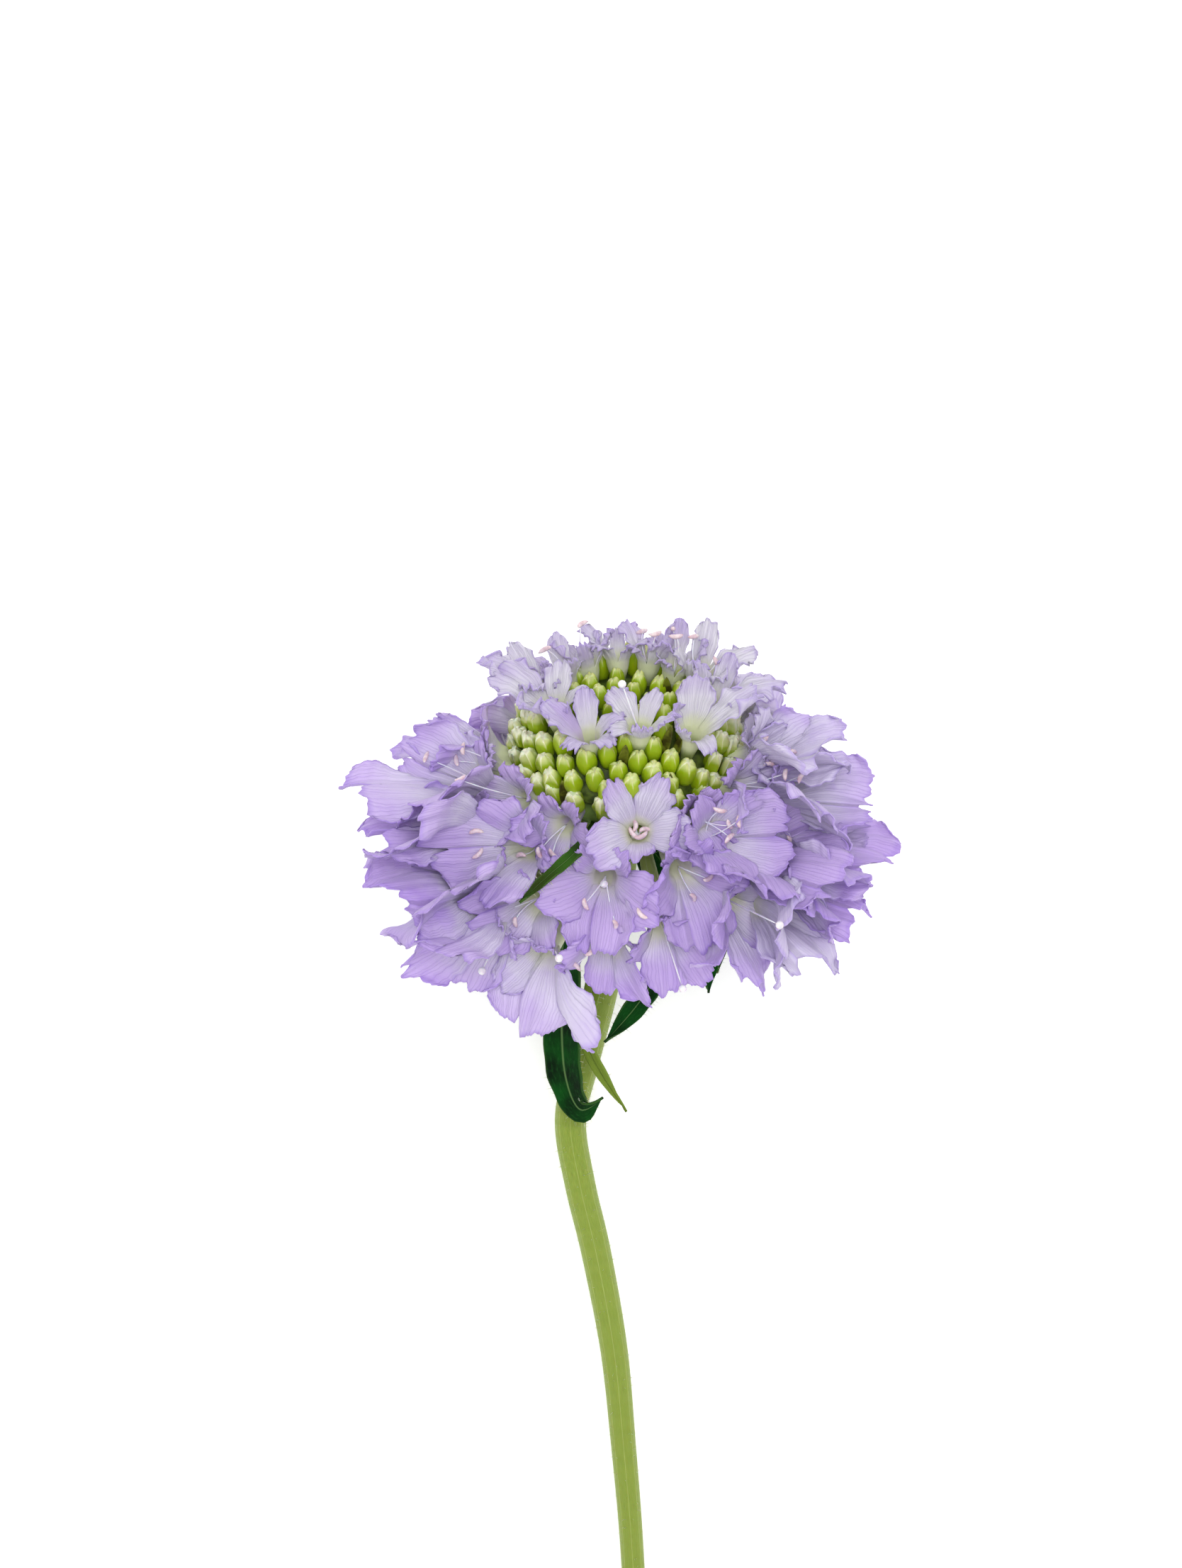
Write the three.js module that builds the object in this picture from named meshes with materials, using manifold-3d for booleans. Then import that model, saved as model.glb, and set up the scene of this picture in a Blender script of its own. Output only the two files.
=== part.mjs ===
// A cut scabiosa (pincushion flower) lying on a flat surface: a bent stem, a whorl of narrow green bracts,
// a dome of closed green buds, crowded whorls of five-lobed outer florets and a small ring of inner florets.
// Millimetres, +Z up, the surface is z = 0. +Y runs along the stem from its cut end towards the flower head.

import * as THREE from "three";
import { mergeVertices } from "three/addons/utils/BufferGeometryUtils.js";
import Module from "manifold-3d";

const wasm = await Module();
wasm.setup();

// ---------- driving dimensions (mm, degrees) ----------

const HEAD = new THREE.Vector3(0.6, 57.3, 27.0); // centre of the bud dome's base circle
const FACE_TILT = 36; // the face of the head looks this far up from the horizontal
const GAP = 0.3; // air between neighbouring pieces
const BLADE = 0.6; // thickness of a petal or bract
const REST_REACH = 2; // how far above the surface a petal starts to give way to it
const SETTLED = 0.25; // corners of a petal this close to the surface lie on it
const APART = 0.02; // how far corners of one solid that would touch are drawn back
const TOUCH = 0.002; // volume that two solids may share before they count as touching, in cubic millimetres

// Bud dome: a low core with closed buds on a golden-angle spiral, one to each equal share of the surface.
const DOME = { radius: 12.4, height: 6.3, rows: 4, sides: 20 };
const SITES = 112;
const GOLDEN = 137.508;
const BUD = { radius: 1.34, length: 3.3, sunk: 1.15, belly: 0.42, sides: 4, upright: 0.72, vary: 0.08 };
const BUD_SIZES = [1, 0.84, 0.68, 0.54]; // a bud with little room beside it stays smaller
const BUD_LEFT = 0.5; // least share of a bud that a floret's tube may leave of it
const RIM = { count: 28, radius: 12.7, height: -1.1, vary: 0.3 }; // one more row below the dome's edge

// Lower receptacle, turned about the head's axis: [radius, height] from under the dome down to the neck.
const BASE = [[0, -10.2], [3.4, -10.2], [6.2, -8.4], [9.4, -5.4], [11.2, -3.2], [11.2, -0.6], [0, -0.6]];
const COLLAR = [[0, -12.4], [3.9, -12.4], [4.3, -10.5], [0, -10.5]];

// Outer florets: azimuth round the head's axis (-90 is the front), radius and height of the throat's centre,
// rise of its axis above the head's plane and roll about that axis. Then come the outer lobe and its two
// neighbours as [turn round the throat, length, width over length, lean at the tip], and the length of the
// two small upper lobes where they are modelled.
const OUTER = [
  [-163, 17.0, -3.0, 40, 0, [0, 18, 0.62, 22], [80, 15, 0.9, 50], [288, 11.5, 0.85, 50]],
  [-154, 19.0, -6.0, 40, 10, [-8, 15, 0.75, 22], [56, 18, 0.8, 35], [296, 9.5, 0.8, 50]],
  [-130, 16.5, -5.5, 30, -60, [-8, 13.5, 0.8, 50], [56, 10, 1.0, 70], [304, 8.5, 0.8, 60], 6.5],
  [-141, 20.0, -10.5, 40, 0, [-16, 16.5, 1.0, 22], [56, 19, 0.9, 35], [304, 10, 0.7, 50]],
  [-131, 21.5, -13.5, -10, -70, [0, 13.5, 0.55, 30], [56, 9.5, 0.8, 60], [256, 15, 0.9, 35]],
  [-121, 19.0, -10.5, 10, -20, [-8, 8, 0.8, 60], [64, 6.5, 0.8, 70], [304, 10, 0.9, 45]],
  [-117, 20.0, -16.5, -10, 0, [0, 10, 1.15, 50], [80, 15.5, 0.45, 75], [304, 7.5, 0.7, 50]],
  [-98, 17.0, -7.0, 20, 0, [0, 9.5, 0.95, 80], [72, 9.5, 0.8, 75], [280, 9, 0.9, 80], 6.5],
  [-68, 17.0, -6.5, 15, 0, [0, 10, 0.9, 75], [80, 8, 0.8, 70], [280, 8, 0.8, 75], 6],
  [-96, 18.5, -14.5, -10, -30, [24, 6.5, 0.7, 45], [80, 9, 0.6, 70], [270, 9, 0.6, 50]],
  [-77, 19.0, -12.5, -10, -10, [8, 8, 0.8, 60], [56, 8.5, 0.8, 45], [280, 6.5, 0.8, 60]],
  [-54, 19.5, -11.0, 0, -30, [8, 12, 0.6, 35], [80, 8, 0.7, 60], [280, 14, 0.7, 60]],
  [-55, 17.0, -3.5, 40, 50, [16, 10.5, 1.0, 55], [56, 9, 0.8, 60], [304, 8.5, 0.9, 55], 6.5],
  [-42, 21.0, -12.0, 10, -30, [0, 13, 0.95, 25], [72, 9, 0.8, 50], [288, 16, 0.8, 60]],
  [-43, 18.5, -8.0, 50, 10, [8, 15.5, 0.95, 40], [68, 11.5, 0.9, 70], [304, 15, 0.8, 45]],
  [-30, 21.0, -11.5, 20, -10, [0, 12, 0.8, 22], [56, 9, 0.8, 50], [280, 15, 0.7, 50]],
  [-25, 20.5, -8.5, 30, 0, [16, 13.5, 1.0, 25], [64, 10.5, 0.8, 45], [296, 14, 0.7, 35]],
  [-21, 18.5, -2.5, 30, 0, [24, 12.5, 0.9, 30], [64, 10.5, 0.8, 45], [280, 15, 0.85, 50]],
  [-12, 15.5, -0.5, 50, 0, [0, 12.5, 0.9, 22], [56, 9.5, 0.8, 45], [288, 15, 0.8, 45]],
  [175, 15.5, -2.5, 30, 10, [0, 12.5, 0.6, 22], [80, 10, 0.6, 50], [288, 10.5, 0.3, 60]],
  [22, 17.0, -7.0, 0, 0, [0, 10.5, 0.95, 50], [80, 10, 0.9, 60], [280, 10, 0.9, 60]],
  [54, 17.0, -9.5, 0, 0, [0, 10.5, 0.95, 50], [80, 10, 0.9, 60], [280, 10, 0.9, 60]],
  [86, 17.0, -10.0, 0, 0, [0, 10.5, 0.95, 50], [80, 10, 0.9, 60], [280, 10, 0.9, 60]],
  [118, 17.0, -10.0, 0, 0, [0, 10.5, 0.95, 50], [80, 10, 0.9, 60], [280, 10, 0.9, 60]],
  [150, 17.0, -8.5, 0, 0, [0, 10.5, 0.95, 50], [80, 10, 0.9, 60], [280, 10, 0.9, 60]],
  [4, 16.0, -7.0, 10, 0, [0, 9.5, 0.95, 50], [80, 8, 0.9, 60], [280, 8, 0.9, 60]],
  [38, 15.5, -5.5, 10, 0, [0, 9, 0.95, 55], [80, 8, 0.9, 60], [280, 8, 0.9, 60]],
  [70, 15.5, -6.0, 10, 0, [0, 9, 0.95, 55], [80, 8, 0.9, 60], [280, 8, 0.9, 60]],
  [102, 15.5, -6.0, 10, 0, [0, 9, 0.95, 55], [80, 8, 0.9, 60], [280, 8, 0.9, 60]],
  [134, 15.5, -5.5, 10, 0, [0, 9, 0.95, 55], [80, 8, 0.9, 60], [280, 8, 0.9, 60]],
  [167, 16.0, -7.0, 10, 0, [0, 9.5, 0.95, 50], [80, 8, 0.9, 60], [280, 8, 0.9, 60]],
];

// Small florets beside the front buds, in the same terms.
const SMALL = [
  [-84, 14.5, -2.5, 50, 0, [-16, 5, 0.9, 65], [80, 7, 0.8, 80], [296, 8.5, 0.7, 80], 8],
  [-119, 14.5, -2.5, 20, 0, [0, 6, 0.8, 80], [80, 6, 0.8, 80], [280, 6, 0.8, 80], 5],
  [-142, 14.8, -1.5, 20, 0, [0, 7, 0.8, 80], [80, 7, 0.8, 80], [280, 7, 0.8, 80], 5],
  [-171, 15.2, -2.0, 20, 0, [0, 7, 0.8, 80], [80, 7, 0.8, 80], [280, 7, 0.8, 80], 5],
  [-58, 14.8, -1.5, 20, 0, [0, 7, 0.8, 80], [80, 7, 0.8, 80], [280, 7, 0.8, 80], 5],
  [-34, 15.2, 0.0, 20, 0, [0, 9, 0.8, 80], [80, 8, 0.8, 80], [280, 8, 0.8, 80], 6],
  [-15, 14.6, 1.0, 20, 20, [0, 5.5, 0.9, 60], [80, 6, 0.9, 60], [280, 7, 0.8, 60], 7],
  [21, 14.4, -0.5, 40, 0, [16, 5.5, 0.9, 60], [64, 8, 0.9, 60], [280, 8, 0.8, 60], 7],
];

// Radius of the throat and of the tube's foot, lean of the lobes at the throat, and how far from the head's
// axis the tube leaves the receptacle.
const BIG_FLORET = { throat: 2.0, foot: 0.8, lean: 16, root: 7.5 };
const SMALL_FLORET = { throat: 1.55, foot: 0.7, lean: 20, root: 8.5 };
const UPPER = { turns: [150, 210], ratio: 0.6, open: 68 }; // the small upper lobes, where modelled
const TUBE_ROOT = { share: 0.4, below: 1, lowest: -6.5 }; // its height, from the height of the mouth
const SEEDS = { outer: 0, small: 60, inner: 300 }; // where each kind's row of wobbles starts
const INNER_FLORET = { throat: 1.5, foot: 0.6, lean: 26, sunk: 2.2 };
const INNER_TURNS = [0, 76, 148, 212, 284];
const RAGGED = { length: 0.14, width: 0.15, turn: 9, lean: 20, roll: 14 }; // how far their lobes stray

// Open florets on the dome: azimuth and radius of the site, length and rise of the tube, lean at the lobes'
// tips, width of the lobes over their length, and the lengths of the five lobes, the outer one first.
const INNER = [
  [-115, 9.4, 3.8, 78, 56, 0.6, [4, 4, 4.5, 5.5, 7]],
  [-79, 8.4, 3.8, 80, 52, 0.6, [3.5, 5, 4.5, 5.5, 4]],
  [-46, 10.4, 3.8, 78, 56, 0.6, [4, 8.5, 6.5, 4, 4]],
  [-151, 8.7, 3.8, 78, 58, 0.55, [6, 4, 4, 5.5, 8.5]],
  [-179, 9.2, 3.8, 76, 50, 0.5, [8, 6, 3.5, 3.5, 7]],
  [-12, 9.8, 3.8, 78, 48, 0.5, [8, 7, 5, 4, 5]],
  [14, 8.2, 3.4, 76, 42, 0.5, [8, 7, 4, 3.5, 5]],
  [30, 6.0, 2.8, 74, 34, 0.44, [5, 5.5, 3.5, 3.5, 4.5]],
  [62, 5.4, 2.8, 72, 30, 0.42, [4, 5, 3.5, 4.5, 4]],
  [98, 5.2, 2.8, 72, 30, 0.42, [4, 4.5, 4.5, 3.5, 4.5]],
  [134, 5.6, 2.8, 72, 36, 0.36, [4, 5, 4, 5, 3.5]],
  [160, 6.8, 3.0, 74, 46, 0.45, [6, 4, 3.5, 3.5, 5]],
];
const HOOP = { width: 1.6, top: 1.6, bottom: 2.5 }; // ring under the dome's surface that holds them
const SHAFT = { from: -0.12, to: 0.85, sides: 6 }; // clearance round each tube, as shares of its length

const ROUND = 0.22; // share of a lobe's length that its corners fall short
const WIDEST = 0.72; // where along its length a lobe is widest
const NARROWING = 0.22; // share of its width that it loses from there to its tip
const CUP = 0.16; // depth of a lobe's hollow over its width
const RUFFLE = { height: 0.9, from: 5, full: 12, waves: 4.2 }; // waves across a lobe, by its length
const HALVED = { across: 9, along: 9.5 }; // lobes longer than this are made in two steps
const CLEAR = 0.5; // how far a lobe's edge stays from the middle between it and its neighbour
const HANG = new THREE.Vector3(0, -0.94, -0.342); // the way lobes droop, and how much per square millimetre
const DROOP = 0.004;

// Bracts: [x, y, z] from the head's centre along each blade, its greatest width, and its twist at the tip.
const BRACTS = [
  {
    width: 5.0,
    twist: 55,
    path: [
      [-2, -10.9, -4.4],
      [-5.4, -17, -5],
      [-7.4, -24, -8],
      [-7.6, -32, -11.5],
      [-7.2, -40, -15],
      [-5.4, -44.6, -16.8],
      [-2.6, -43.2, -15.5],
    ],
  },
  {
    width: 2.0,
    twist: 20,
    path: [[-0.6, -11.2, -4], [-1.4, -20, -7], [-4.1, -31, -12.5], [-4.4, -37, -14.5], [0.3, -45, -17.5]],
  },
  {
    width: 3.4,
    twist: -10,
    path: [[1.2, -11.2, -4.1], [4.6, -18, -5], [5.2, -25, -8], [2, -31, -10.5], [-2.4, -36.2, -11.5]],
  },
  {
    width: 3.6,
    twist: 10,
    path: [[2.7, -10.5, -5], [7.5, -15, -7], [10, -22, -10], [10.3, -30.2, -13]],
  },
  {
    width: 3.2,
    twist: 0,
    path: [[3.3, -8.5, -7.7], [8.5, -12, -12], [12, -19, -16], [11.5, -28, -19]],
  },
  {
    width: 3.2,
    twist: 0,
    path: [[-3.3, -8.5, -7.7], [-8.8, -12, -12], [-12.6, -19, -16], [-12.4, -28, -19]],
  },
  {
    width: 3.0,
    twist: 0,
    path: [[-1.75, -7.5, -9.1], [-5, -8, -15], [-8.6, -14, -21], [-10.4, -23, -24.3]],
  },
  {
    width: 3.0,
    twist: 0,
    path: [[1.75, -7.5, -9.1], [4.5, -8, -15], [7.4, -14, -21.3], [8.6, -23, -24.6]],
  },
];
// Steps along a bract, shares of its width at its foot and tip, rise of its edges over its half width, and
// how far those at the sides face outwards.
const BRACT = { steps: 6, foot: 0.45, start: 0.12, tip: 0.3, keel: 0.15, flare: 0.03 };

// Stem centreline from the neck to the cut end: [x, y, z] from the head's centre, and radius.
const STEM = [
  [0.0, -8.9, -6.5, 2.6],
  [-0.3, -12.6, -9.1, 2.05],
  [-1.2, -20.5, -13.6, 1.95],
  [-2.6, -29.7, -18.0, 1.95],
  [-5.1, -39.4, -21.6, 2.0],
  [-6.6, -46.5, -23.5, 1.95],
  [-5.4, -54.5, -24.6, 1.9],
  [-3.4, -63.0, -25.1, 1.85],
  [-1.2, -75.0, -25.4, 1.7],
  [0.0, -87.0, -25.5, 1.55],
  [1.0, -99.0, -25.6, 1.45],
  [1.6, -112.0, -25.6, 1.42],
  [1.6, -128.0, -25.6, 1.42],
];
const STEM_SIDES = 12;
const STEM_STEPS = 20;
const FLAT_FROM = 0.72; // share of the stem's length after which it lies along the surface
const FLAT_BLEND = 0.15; // share of its length over which it comes down to it

// ---------- helpers ----------

const DEG = Math.PI / 180;
const V = (x, y, z) => new THREE.Vector3(x, y, z);
const clamp01 = (t) => Math.min(1, Math.max(0, t));
const mix = (a, b, t) => a + (b - a) * t;
const turns = (n) => Array.from({ length: n }, (_, i) => (2 * Math.PI * i) / n);

// A repeatable number from -1 to 1 for whole numbers k and salt.
function wobble(k, salt) {
  const s = Math.sin(k * 12.9898 + salt * 78.233) * 43758.5453;
  return 2 * (s - Math.floor(s)) - 1;
}

// The larger of a and floor, with a rounded corner that reaches k to either side.
function softMax(a, floor, k) {
  const h = clamp01(0.5 + (0.5 * (a - floor)) / k);
  return mix(floor, a, h) + k * h * (1 - h);
}

// From the head's own frame (axis +z, front of the head towards -y) to the part's frame.
const headFrame = new THREE.Matrix4().makeRotationX((FACE_TILT - 90) * DEG).setPosition(HEAD);
const toPart = (p) => p.clone().applyMatrix4(headFrame);
const turnedToPart = (d) => d.clone().transformDirection(headFrame);
const around = (azimuth, r, z) => V(r * Math.cos(azimuth * DEG), r * Math.sin(azimuth * DEG), z);

function solidFrom(points, faces) {
  const flat = new Float32Array(points.flatMap((p) => [p.x, p.y, p.z]));
  return new wasm.Manifold(
    new wasm.Mesh({ numProp: 3, vertProperties: flat, triVerts: new Uint32Array(faces.flat()) }),
  );
}

// A geometry with its coincident vertices made one, as a solid.
function solidFromGeometry(geometry, tolerance = 1e-4) {
  const flat = geometry.index ? geometry.toNonIndexed() : geometry;
  const bare = new THREE.BufferGeometry().setAttribute("position", flat.getAttribute("position"));
  const merged = mergeVertices(bare, tolerance);
  return new wasm.Manifold(
    new wasm.Mesh({
      numProp: 3,
      vertProperties: new Float32Array(merged.attributes.position.array),
      triVerts: new Uint32Array(merged.index.array),
    }),
  );
}

// A closed solid through rings of points, which run anticlockwise as seen from its far end.
function loftedSolid(rings) {
  const n = rings[0].length;
  const end = (rings.length - 1) * n;
  const faces = [];
  for (let j = 0; j < n; j++) {
    const k = (j + 1) % n;
    for (let i = 0; i < end; i += n) faces.push([i + j, i + k, i + n + k], [i + j, i + n + k, i + n + j]);
    if (j > 0 && j < n - 1) faces.push([0, k, j], [end, end + j, end + k]);
  }
  return solidFrom(rings.flat(), faces);
}

function geometryOf(solid) {
  const m = solid.getMesh();
  const positions = new Float32Array(m.numVert * 3);
  for (let i = 0; i < m.numVert; i++) {
    positions.set(m.vertProperties.subarray(i * m.numProp, i * m.numProp + 3), i * 3);
  }
  const geometry = new THREE.BufferGeometry();
  geometry.setAttribute("position", new THREE.BufferAttribute(positions, 3));
  geometry.setIndex(new THREE.BufferAttribute(m.triVerts, 1));
  return geometry;
}

const joined = (solids) => solids.reduce((all, s) => all.add(s));

// The biggest body of a solid: loose scrap is dropped and sealed hollows are filled.
const wholePiece = (solid) => solid.decompose().sort((a, b) => b.volume() - a.volume())[0];

// Corners of a solid that meet other corners of its own, to a thousandth or a ten-thousandth of a millimetre,
// are drawn back into it by different amounts, until no two touch.
function withCornersApart(geometry) {
  const { position } = geometry.attributes;
  const corners = Array.from({ length: position.count }, (_, i) => i);
  const at = (attribute, i) => new THREE.Vector3().fromBufferAttribute(attribute, i);
  const rounded = (i, grid) => at(position, i).toArray().map((c) => Math.trunc(c * grid + 0.5));
  const cell = (i, grid) => [grid, ...rounded(i, grid)].join();
  const cells = (i) => [cell(i, 1e3), cell(i, 1e4)];
  for (;;) {
    const found = new Map();
    for (const place of corners.flatMap(cells)) found.set(place, (found.get(place) ?? 0) + 1);
    const meeting = corners.filter((i) => cells(i).some((place) => found.get(place) > 1));
    if (!meeting.length) return geometry;
    geometry.computeVertexNormals();
    for (const i of meeting) {
      const p = at(position, i).addScaledVector(at(geometry.attributes.normal, i), -APART * (1 + (i % 3)));
      position.setXYZ(i, p.x, p.y, p.z);
    }
  }
}

function meshOf(name, solid, color, roughness) {
  const clean = wholePiece(solidFromGeometry(geometryOf(wholePiece(solid)), 1e-3));
  const geometry = withCornersApart(geometryOf(clean));
  geometry.computeVertexNormals();
  const mesh = new THREE.Mesh(geometry, new THREE.MeshStandardMaterial({ color, roughness, metalness: 0 }));
  mesh.name = name;
  return mesh;
}

// A profile of [radius, height] pairs, given upwards, turned about the head's axis.
function turnedSolid(profile, sides) {
  const lathe = new THREE.LatheGeometry(profile.map(([r, z]) => new THREE.Vector2(r, z)), sides);
  return solidFromGeometry(lathe.rotateX(Math.PI / 2).applyMatrix4(headFrame));
}

// ---------- florets ----------

// A floret's lobes in order round the throat. Each reaches halfway to its neighbours along the rim.
function arranged(lobes) {
  const order = [...lobes].sort((a, b) => a.turn - b.turn);
  return order.map((lobe, i) => {
    const before = i === 0 ? order.at(-1).turn - 360 : order[i - 1].turn;
    const after = i === order.length - 1 ? order[0].turn + 360 : order[i + 1].turn;
    return { ...lobe, low: (lobe.turn - before) / 2, high: (after - lobe.turn) / 2 };
  });
}

// A floret from its root and mouth in the head's frame. out points to its outer side and side to its right.
function floret(k, root, mouth, azimuth, rise, roll, kind, lobes, detail) {
  const axis = around(azimuth, Math.cos(rise * DEG), Math.sin(rise * DEG));
  const out = around(azimuth, Math.sin(rise * DEG), -Math.cos(rise * DEG)).applyAxisAngle(axis, roll * DEG);
  const side = axis.clone().cross(out);
  const shaped = lobes.map((lobe, i) => ({
    ...lobe,
    lean: kind.lean,
    cup: CUP * wobble(k, 30 + i),
    phase: 3 * wobble(k, 40 + i),
    ruffle: RUFFLE.height * clamp01((lobe.length - RUFFLE.from) / (RUFFLE.full - RUFFLE.from)),
    across: lobe.length > HALVED.across ? detail : 1,
    along: lobe.length > HALVED.along ? 2 : 1,
  }));
  return { root, mouth, axis, out, side, throat: kind.throat, foot: kind.foot, lobes: arranged(shaped) };
}

// The way out of the throat's middle at an angle round it, from the outer side.
const awayFrom = (f, angle) =>
  f.out.clone().multiplyScalar(Math.cos(angle)).addScaledVector(f.side, Math.sin(angle));

// Anything that would go below the surface lies along it instead.
function rested(p, least) {
  p.z = softMax(p.z, least, REST_REACH);
  return p;
}

const laid = (z) => (z < SETTLED ? 0 : z);

// The middle of a lobe's blade at u across (-1 to 1) and v along (0 at the throat, 1 at the tip).
function lobePoint(f, lobe, u, v) {
  const half = (u < 0 ? lobe.low : lobe.high) * DEG;
  const away = awayFrom(f, lobe.turn * DEG);
  const across = f.axis.clone().cross(away);
  const length = lobe.length * (v - ROUND * Math.abs(u) ** 2.4 * v ** 3);
  const start = lobe.lean * DEG;
  const bend = ((lobe.open - lobe.lean) * DEG) / lobe.length;
  const lean = start + bend * length;
  const belly = Math.sin((Math.PI / 2) * Math.min(1, v / WIDEST));
  const narrowing = 1 - NARROWING * clamp01((v - WIDEST) / (1 - WIDEST)) ** 2;
  const spread = u * belly * narrowing * Math.max(0, lobe.width / 2 - f.throat * Math.sin(half));
  const wave = Math.sin(RUFFLE.waves * u + lobe.phase) * v * v;
  const lift = lobe.width * lobe.cup * u * u * Math.sqrt(v) + lobe.ruffle * wave;
  const forward = (Math.sin(lean) - Math.sin(start)) / bend + lift * Math.sin(lean);
  const rim = f.throat * Math.cos(u * half);
  const outward = (Math.cos(start) - Math.cos(lean)) / bend - lift * Math.cos(lean) + rim;
  const sideways = spread + f.throat * Math.sin(u * half);
  const radius = Math.hypot(outward, sideways);
  const sector = Math.abs(half) - (CLEAR * Math.min(1, 4 * v)) / radius;
  const angle = Math.max(-sector, Math.min(sector, Math.atan2(sideways, outward)));
  const p = f.mouth.clone().addScaledVector(f.axis, forward);
  p.addScaledVector(away, radius * Math.cos(angle)).addScaledVector(across, radius * Math.sin(angle));
  return rested(toPart(p).addScaledVector(HANG, DROOP * length * length), BLADE / 2);
}

// The corners of a lobe's two faces, row by row from the rim. They lie BLADE apart, square to its facets.
function lobeRows(f, lobe) {
  const { across, along } = lobe;
  const middle = Array.from({ length: along + 1 }, (_, i) =>
    Array.from({ length: across + 1 }, (_, j) => lobePoint(f, lobe, -1 + (2 * j) / across, i / along)),
  );
  return middle.map((row, i) =>
    row.map((p, j) => {
      const du = row[Math.min(across, j + 1)].clone().sub(row[Math.max(0, j - 1)]);
      const dv = middle[Math.min(along, i + 1)][j].clone().sub(middle[Math.max(0, i - 1)][j]);
      const normal = du.cross(dv).normalize();
      const [front, back] = [-BLADE / 2, BLADE / 2].map((d) => p.clone().addScaledVector(normal, d));
      front.z = laid(front.z);
      back.z = laid(back.z);
      return { front, back };
    }),
  );
}

// A whole floret as one closed solid: tube, filled throat and lobes.
function floretSolid(f) {
  const points = [];
  const faces = [];
  const add = (p) => points.push(p) - 1;
  const quad = (a, b, c, d) => faces.push([a, b, c], [a, c, d]);
  const lean = f.lobes[0].lean * DEG;
  const heading = f.mouth.clone().sub(f.root).normalize();
  const rim = f.lobes.flatMap((lobe) =>
    Array.from({ length: lobe.across }, (_, j) => {
      const u = -1 + (2 * j) / lobe.across;
      const away = awayFrom(f, (lobe.turn + u * (u < 0 ? lobe.low : lobe.high)) * DEG);
      const normal = away.clone().multiplyScalar(Math.cos(lean)).addScaledVector(f.axis, -Math.sin(lean));
      const edge = f.mouth.clone().addScaledVector(away, f.throat);
      const square = away.clone().addScaledVector(heading, -away.dot(heading)).normalize();
      return {
        front: add(rested(toPart(edge.clone().addScaledVector(normal, -BLADE / 2)), BLADE)),
        back: add(rested(toPart(edge.clone().addScaledVector(normal, BLADE / 2)), 0)),
        foot: add(rested(toPart(f.root.clone().addScaledVector(square, f.foot)), 0)),
      };
    }),
  );
  const bottom = add(toPart(f.root));
  const throat = add(toPart(f.mouth.clone().addScaledVector(f.axis, -0.5 * f.throat)));
  rim.forEach((a, i) => {
    const b = rim[(i + 1) % rim.length];
    faces.push([bottom, b.foot, a.foot], [throat, a.front, b.front]);
    quad(a.foot, b.foot, b.back, a.back);
  });
  let column = 0;
  for (const lobe of f.lobes) {
    const beyond = lobeRows(f, lobe).slice(1);
    const rows = beyond.map((row) => row.map(({ front, back }) => ({ front: add(front), back: add(back) })));
    rows.unshift(Array.from({ length: lobe.across + 1 }, (_, j) => rim[(column + j) % rim.length]));
    column += lobe.across;
    for (let i = 0; i < lobe.along; i++) {
      for (let j = 0; j < lobe.across; j++) {
        const [a, b, c, d] = [rows[i][j], rows[i][j + 1], rows[i + 1][j + 1], rows[i + 1][j]];
        faces.push([a.front, d.front, c.front], [a.front, c.front, b.front]);
        faces.push([a.back, c.back, d.back], [a.back, b.back, c.back]);
      }
      const [a, d] = [rows[i][0], rows[i + 1][0]];
      quad(a.front, a.back, d.back, d.front);
      const [b, c] = [rows[i][lobe.across], rows[i + 1][lobe.across]];
      quad(b.front, c.front, c.back, b.back);
    }
    for (let j = 0; j < lobe.across; j++) {
      const [d, c] = [rows[lobe.along][j], rows[lobe.along][j + 1]];
      quad(d.front, d.back, c.back, c.front);
    }
  }
  return solidFrom(points, faces);
}

// A floret of the outer whorls: its tube leaves the receptacle at the azimuth of its mouth.
function outerFloret(row, k, kind, detail) {
  const [azimuth, r, z, rise, roll, ...blades] = row;
  const [upper = 0] = blades.splice(3);
  const lobes = [
    ...blades.map(([turn, length, ratio, open]) => ({ turn, length, width: length * ratio, open })),
    ...(upper ? UPPER.turns : []).map((turn) => (
      { turn, length: upper, width: UPPER.ratio * upper, open: UPPER.open }
    )),
  ];
  const height = Math.max(TUBE_ROOT.lowest, TUBE_ROOT.share * z - TUBE_ROOT.below);
  const root = around(azimuth, kind.root, height);
  return floret(k, root, around(azimuth, r, z), azimuth, rise, roll, kind, lobes, detail);
}

// ---------- dome of buds ----------

// Polar angles of the sites, so that each has an equal share of the dome's surface.
const SITE_POLAR = (() => {
  const steps = 400;
  const flat = DOME.height / DOME.radius + 0.1;
  const area = [0];
  for (let i = 0; i < steps; i++) {
    const p = ((Math.PI / 2) * (i + 0.5)) / steps;
    area.push(area[i] + Math.sin(p) * Math.hypot(Math.cos(p), flat * Math.sin(p)));
  }
  return Array.from({ length: SITES }, (_, k) => {
    const share = ((k + 0.5) / SITES) * area[steps];
    const i = area.findIndex((a) => a > share);
    return ((Math.PI / 2) * (i - (area[i] - share) / (area[i] - area[i - 1]))) / steps;
  });
})();

// Site k of the spiral: a point on the core and the way the surface faces there, in the head's frame.
function domeSite(k) {
  const turn = k * GOLDEN;
  const point = around(turn, DOME.radius * Math.sin(SITE_POLAR[k]), DOME.height * Math.cos(SITE_POLAR[k]));
  const normal = point.clone().divide(V(DOME.radius ** 2, DOME.radius ** 2, DOME.height ** 2)).normalize();
  return { point, normal, k };
}

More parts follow.
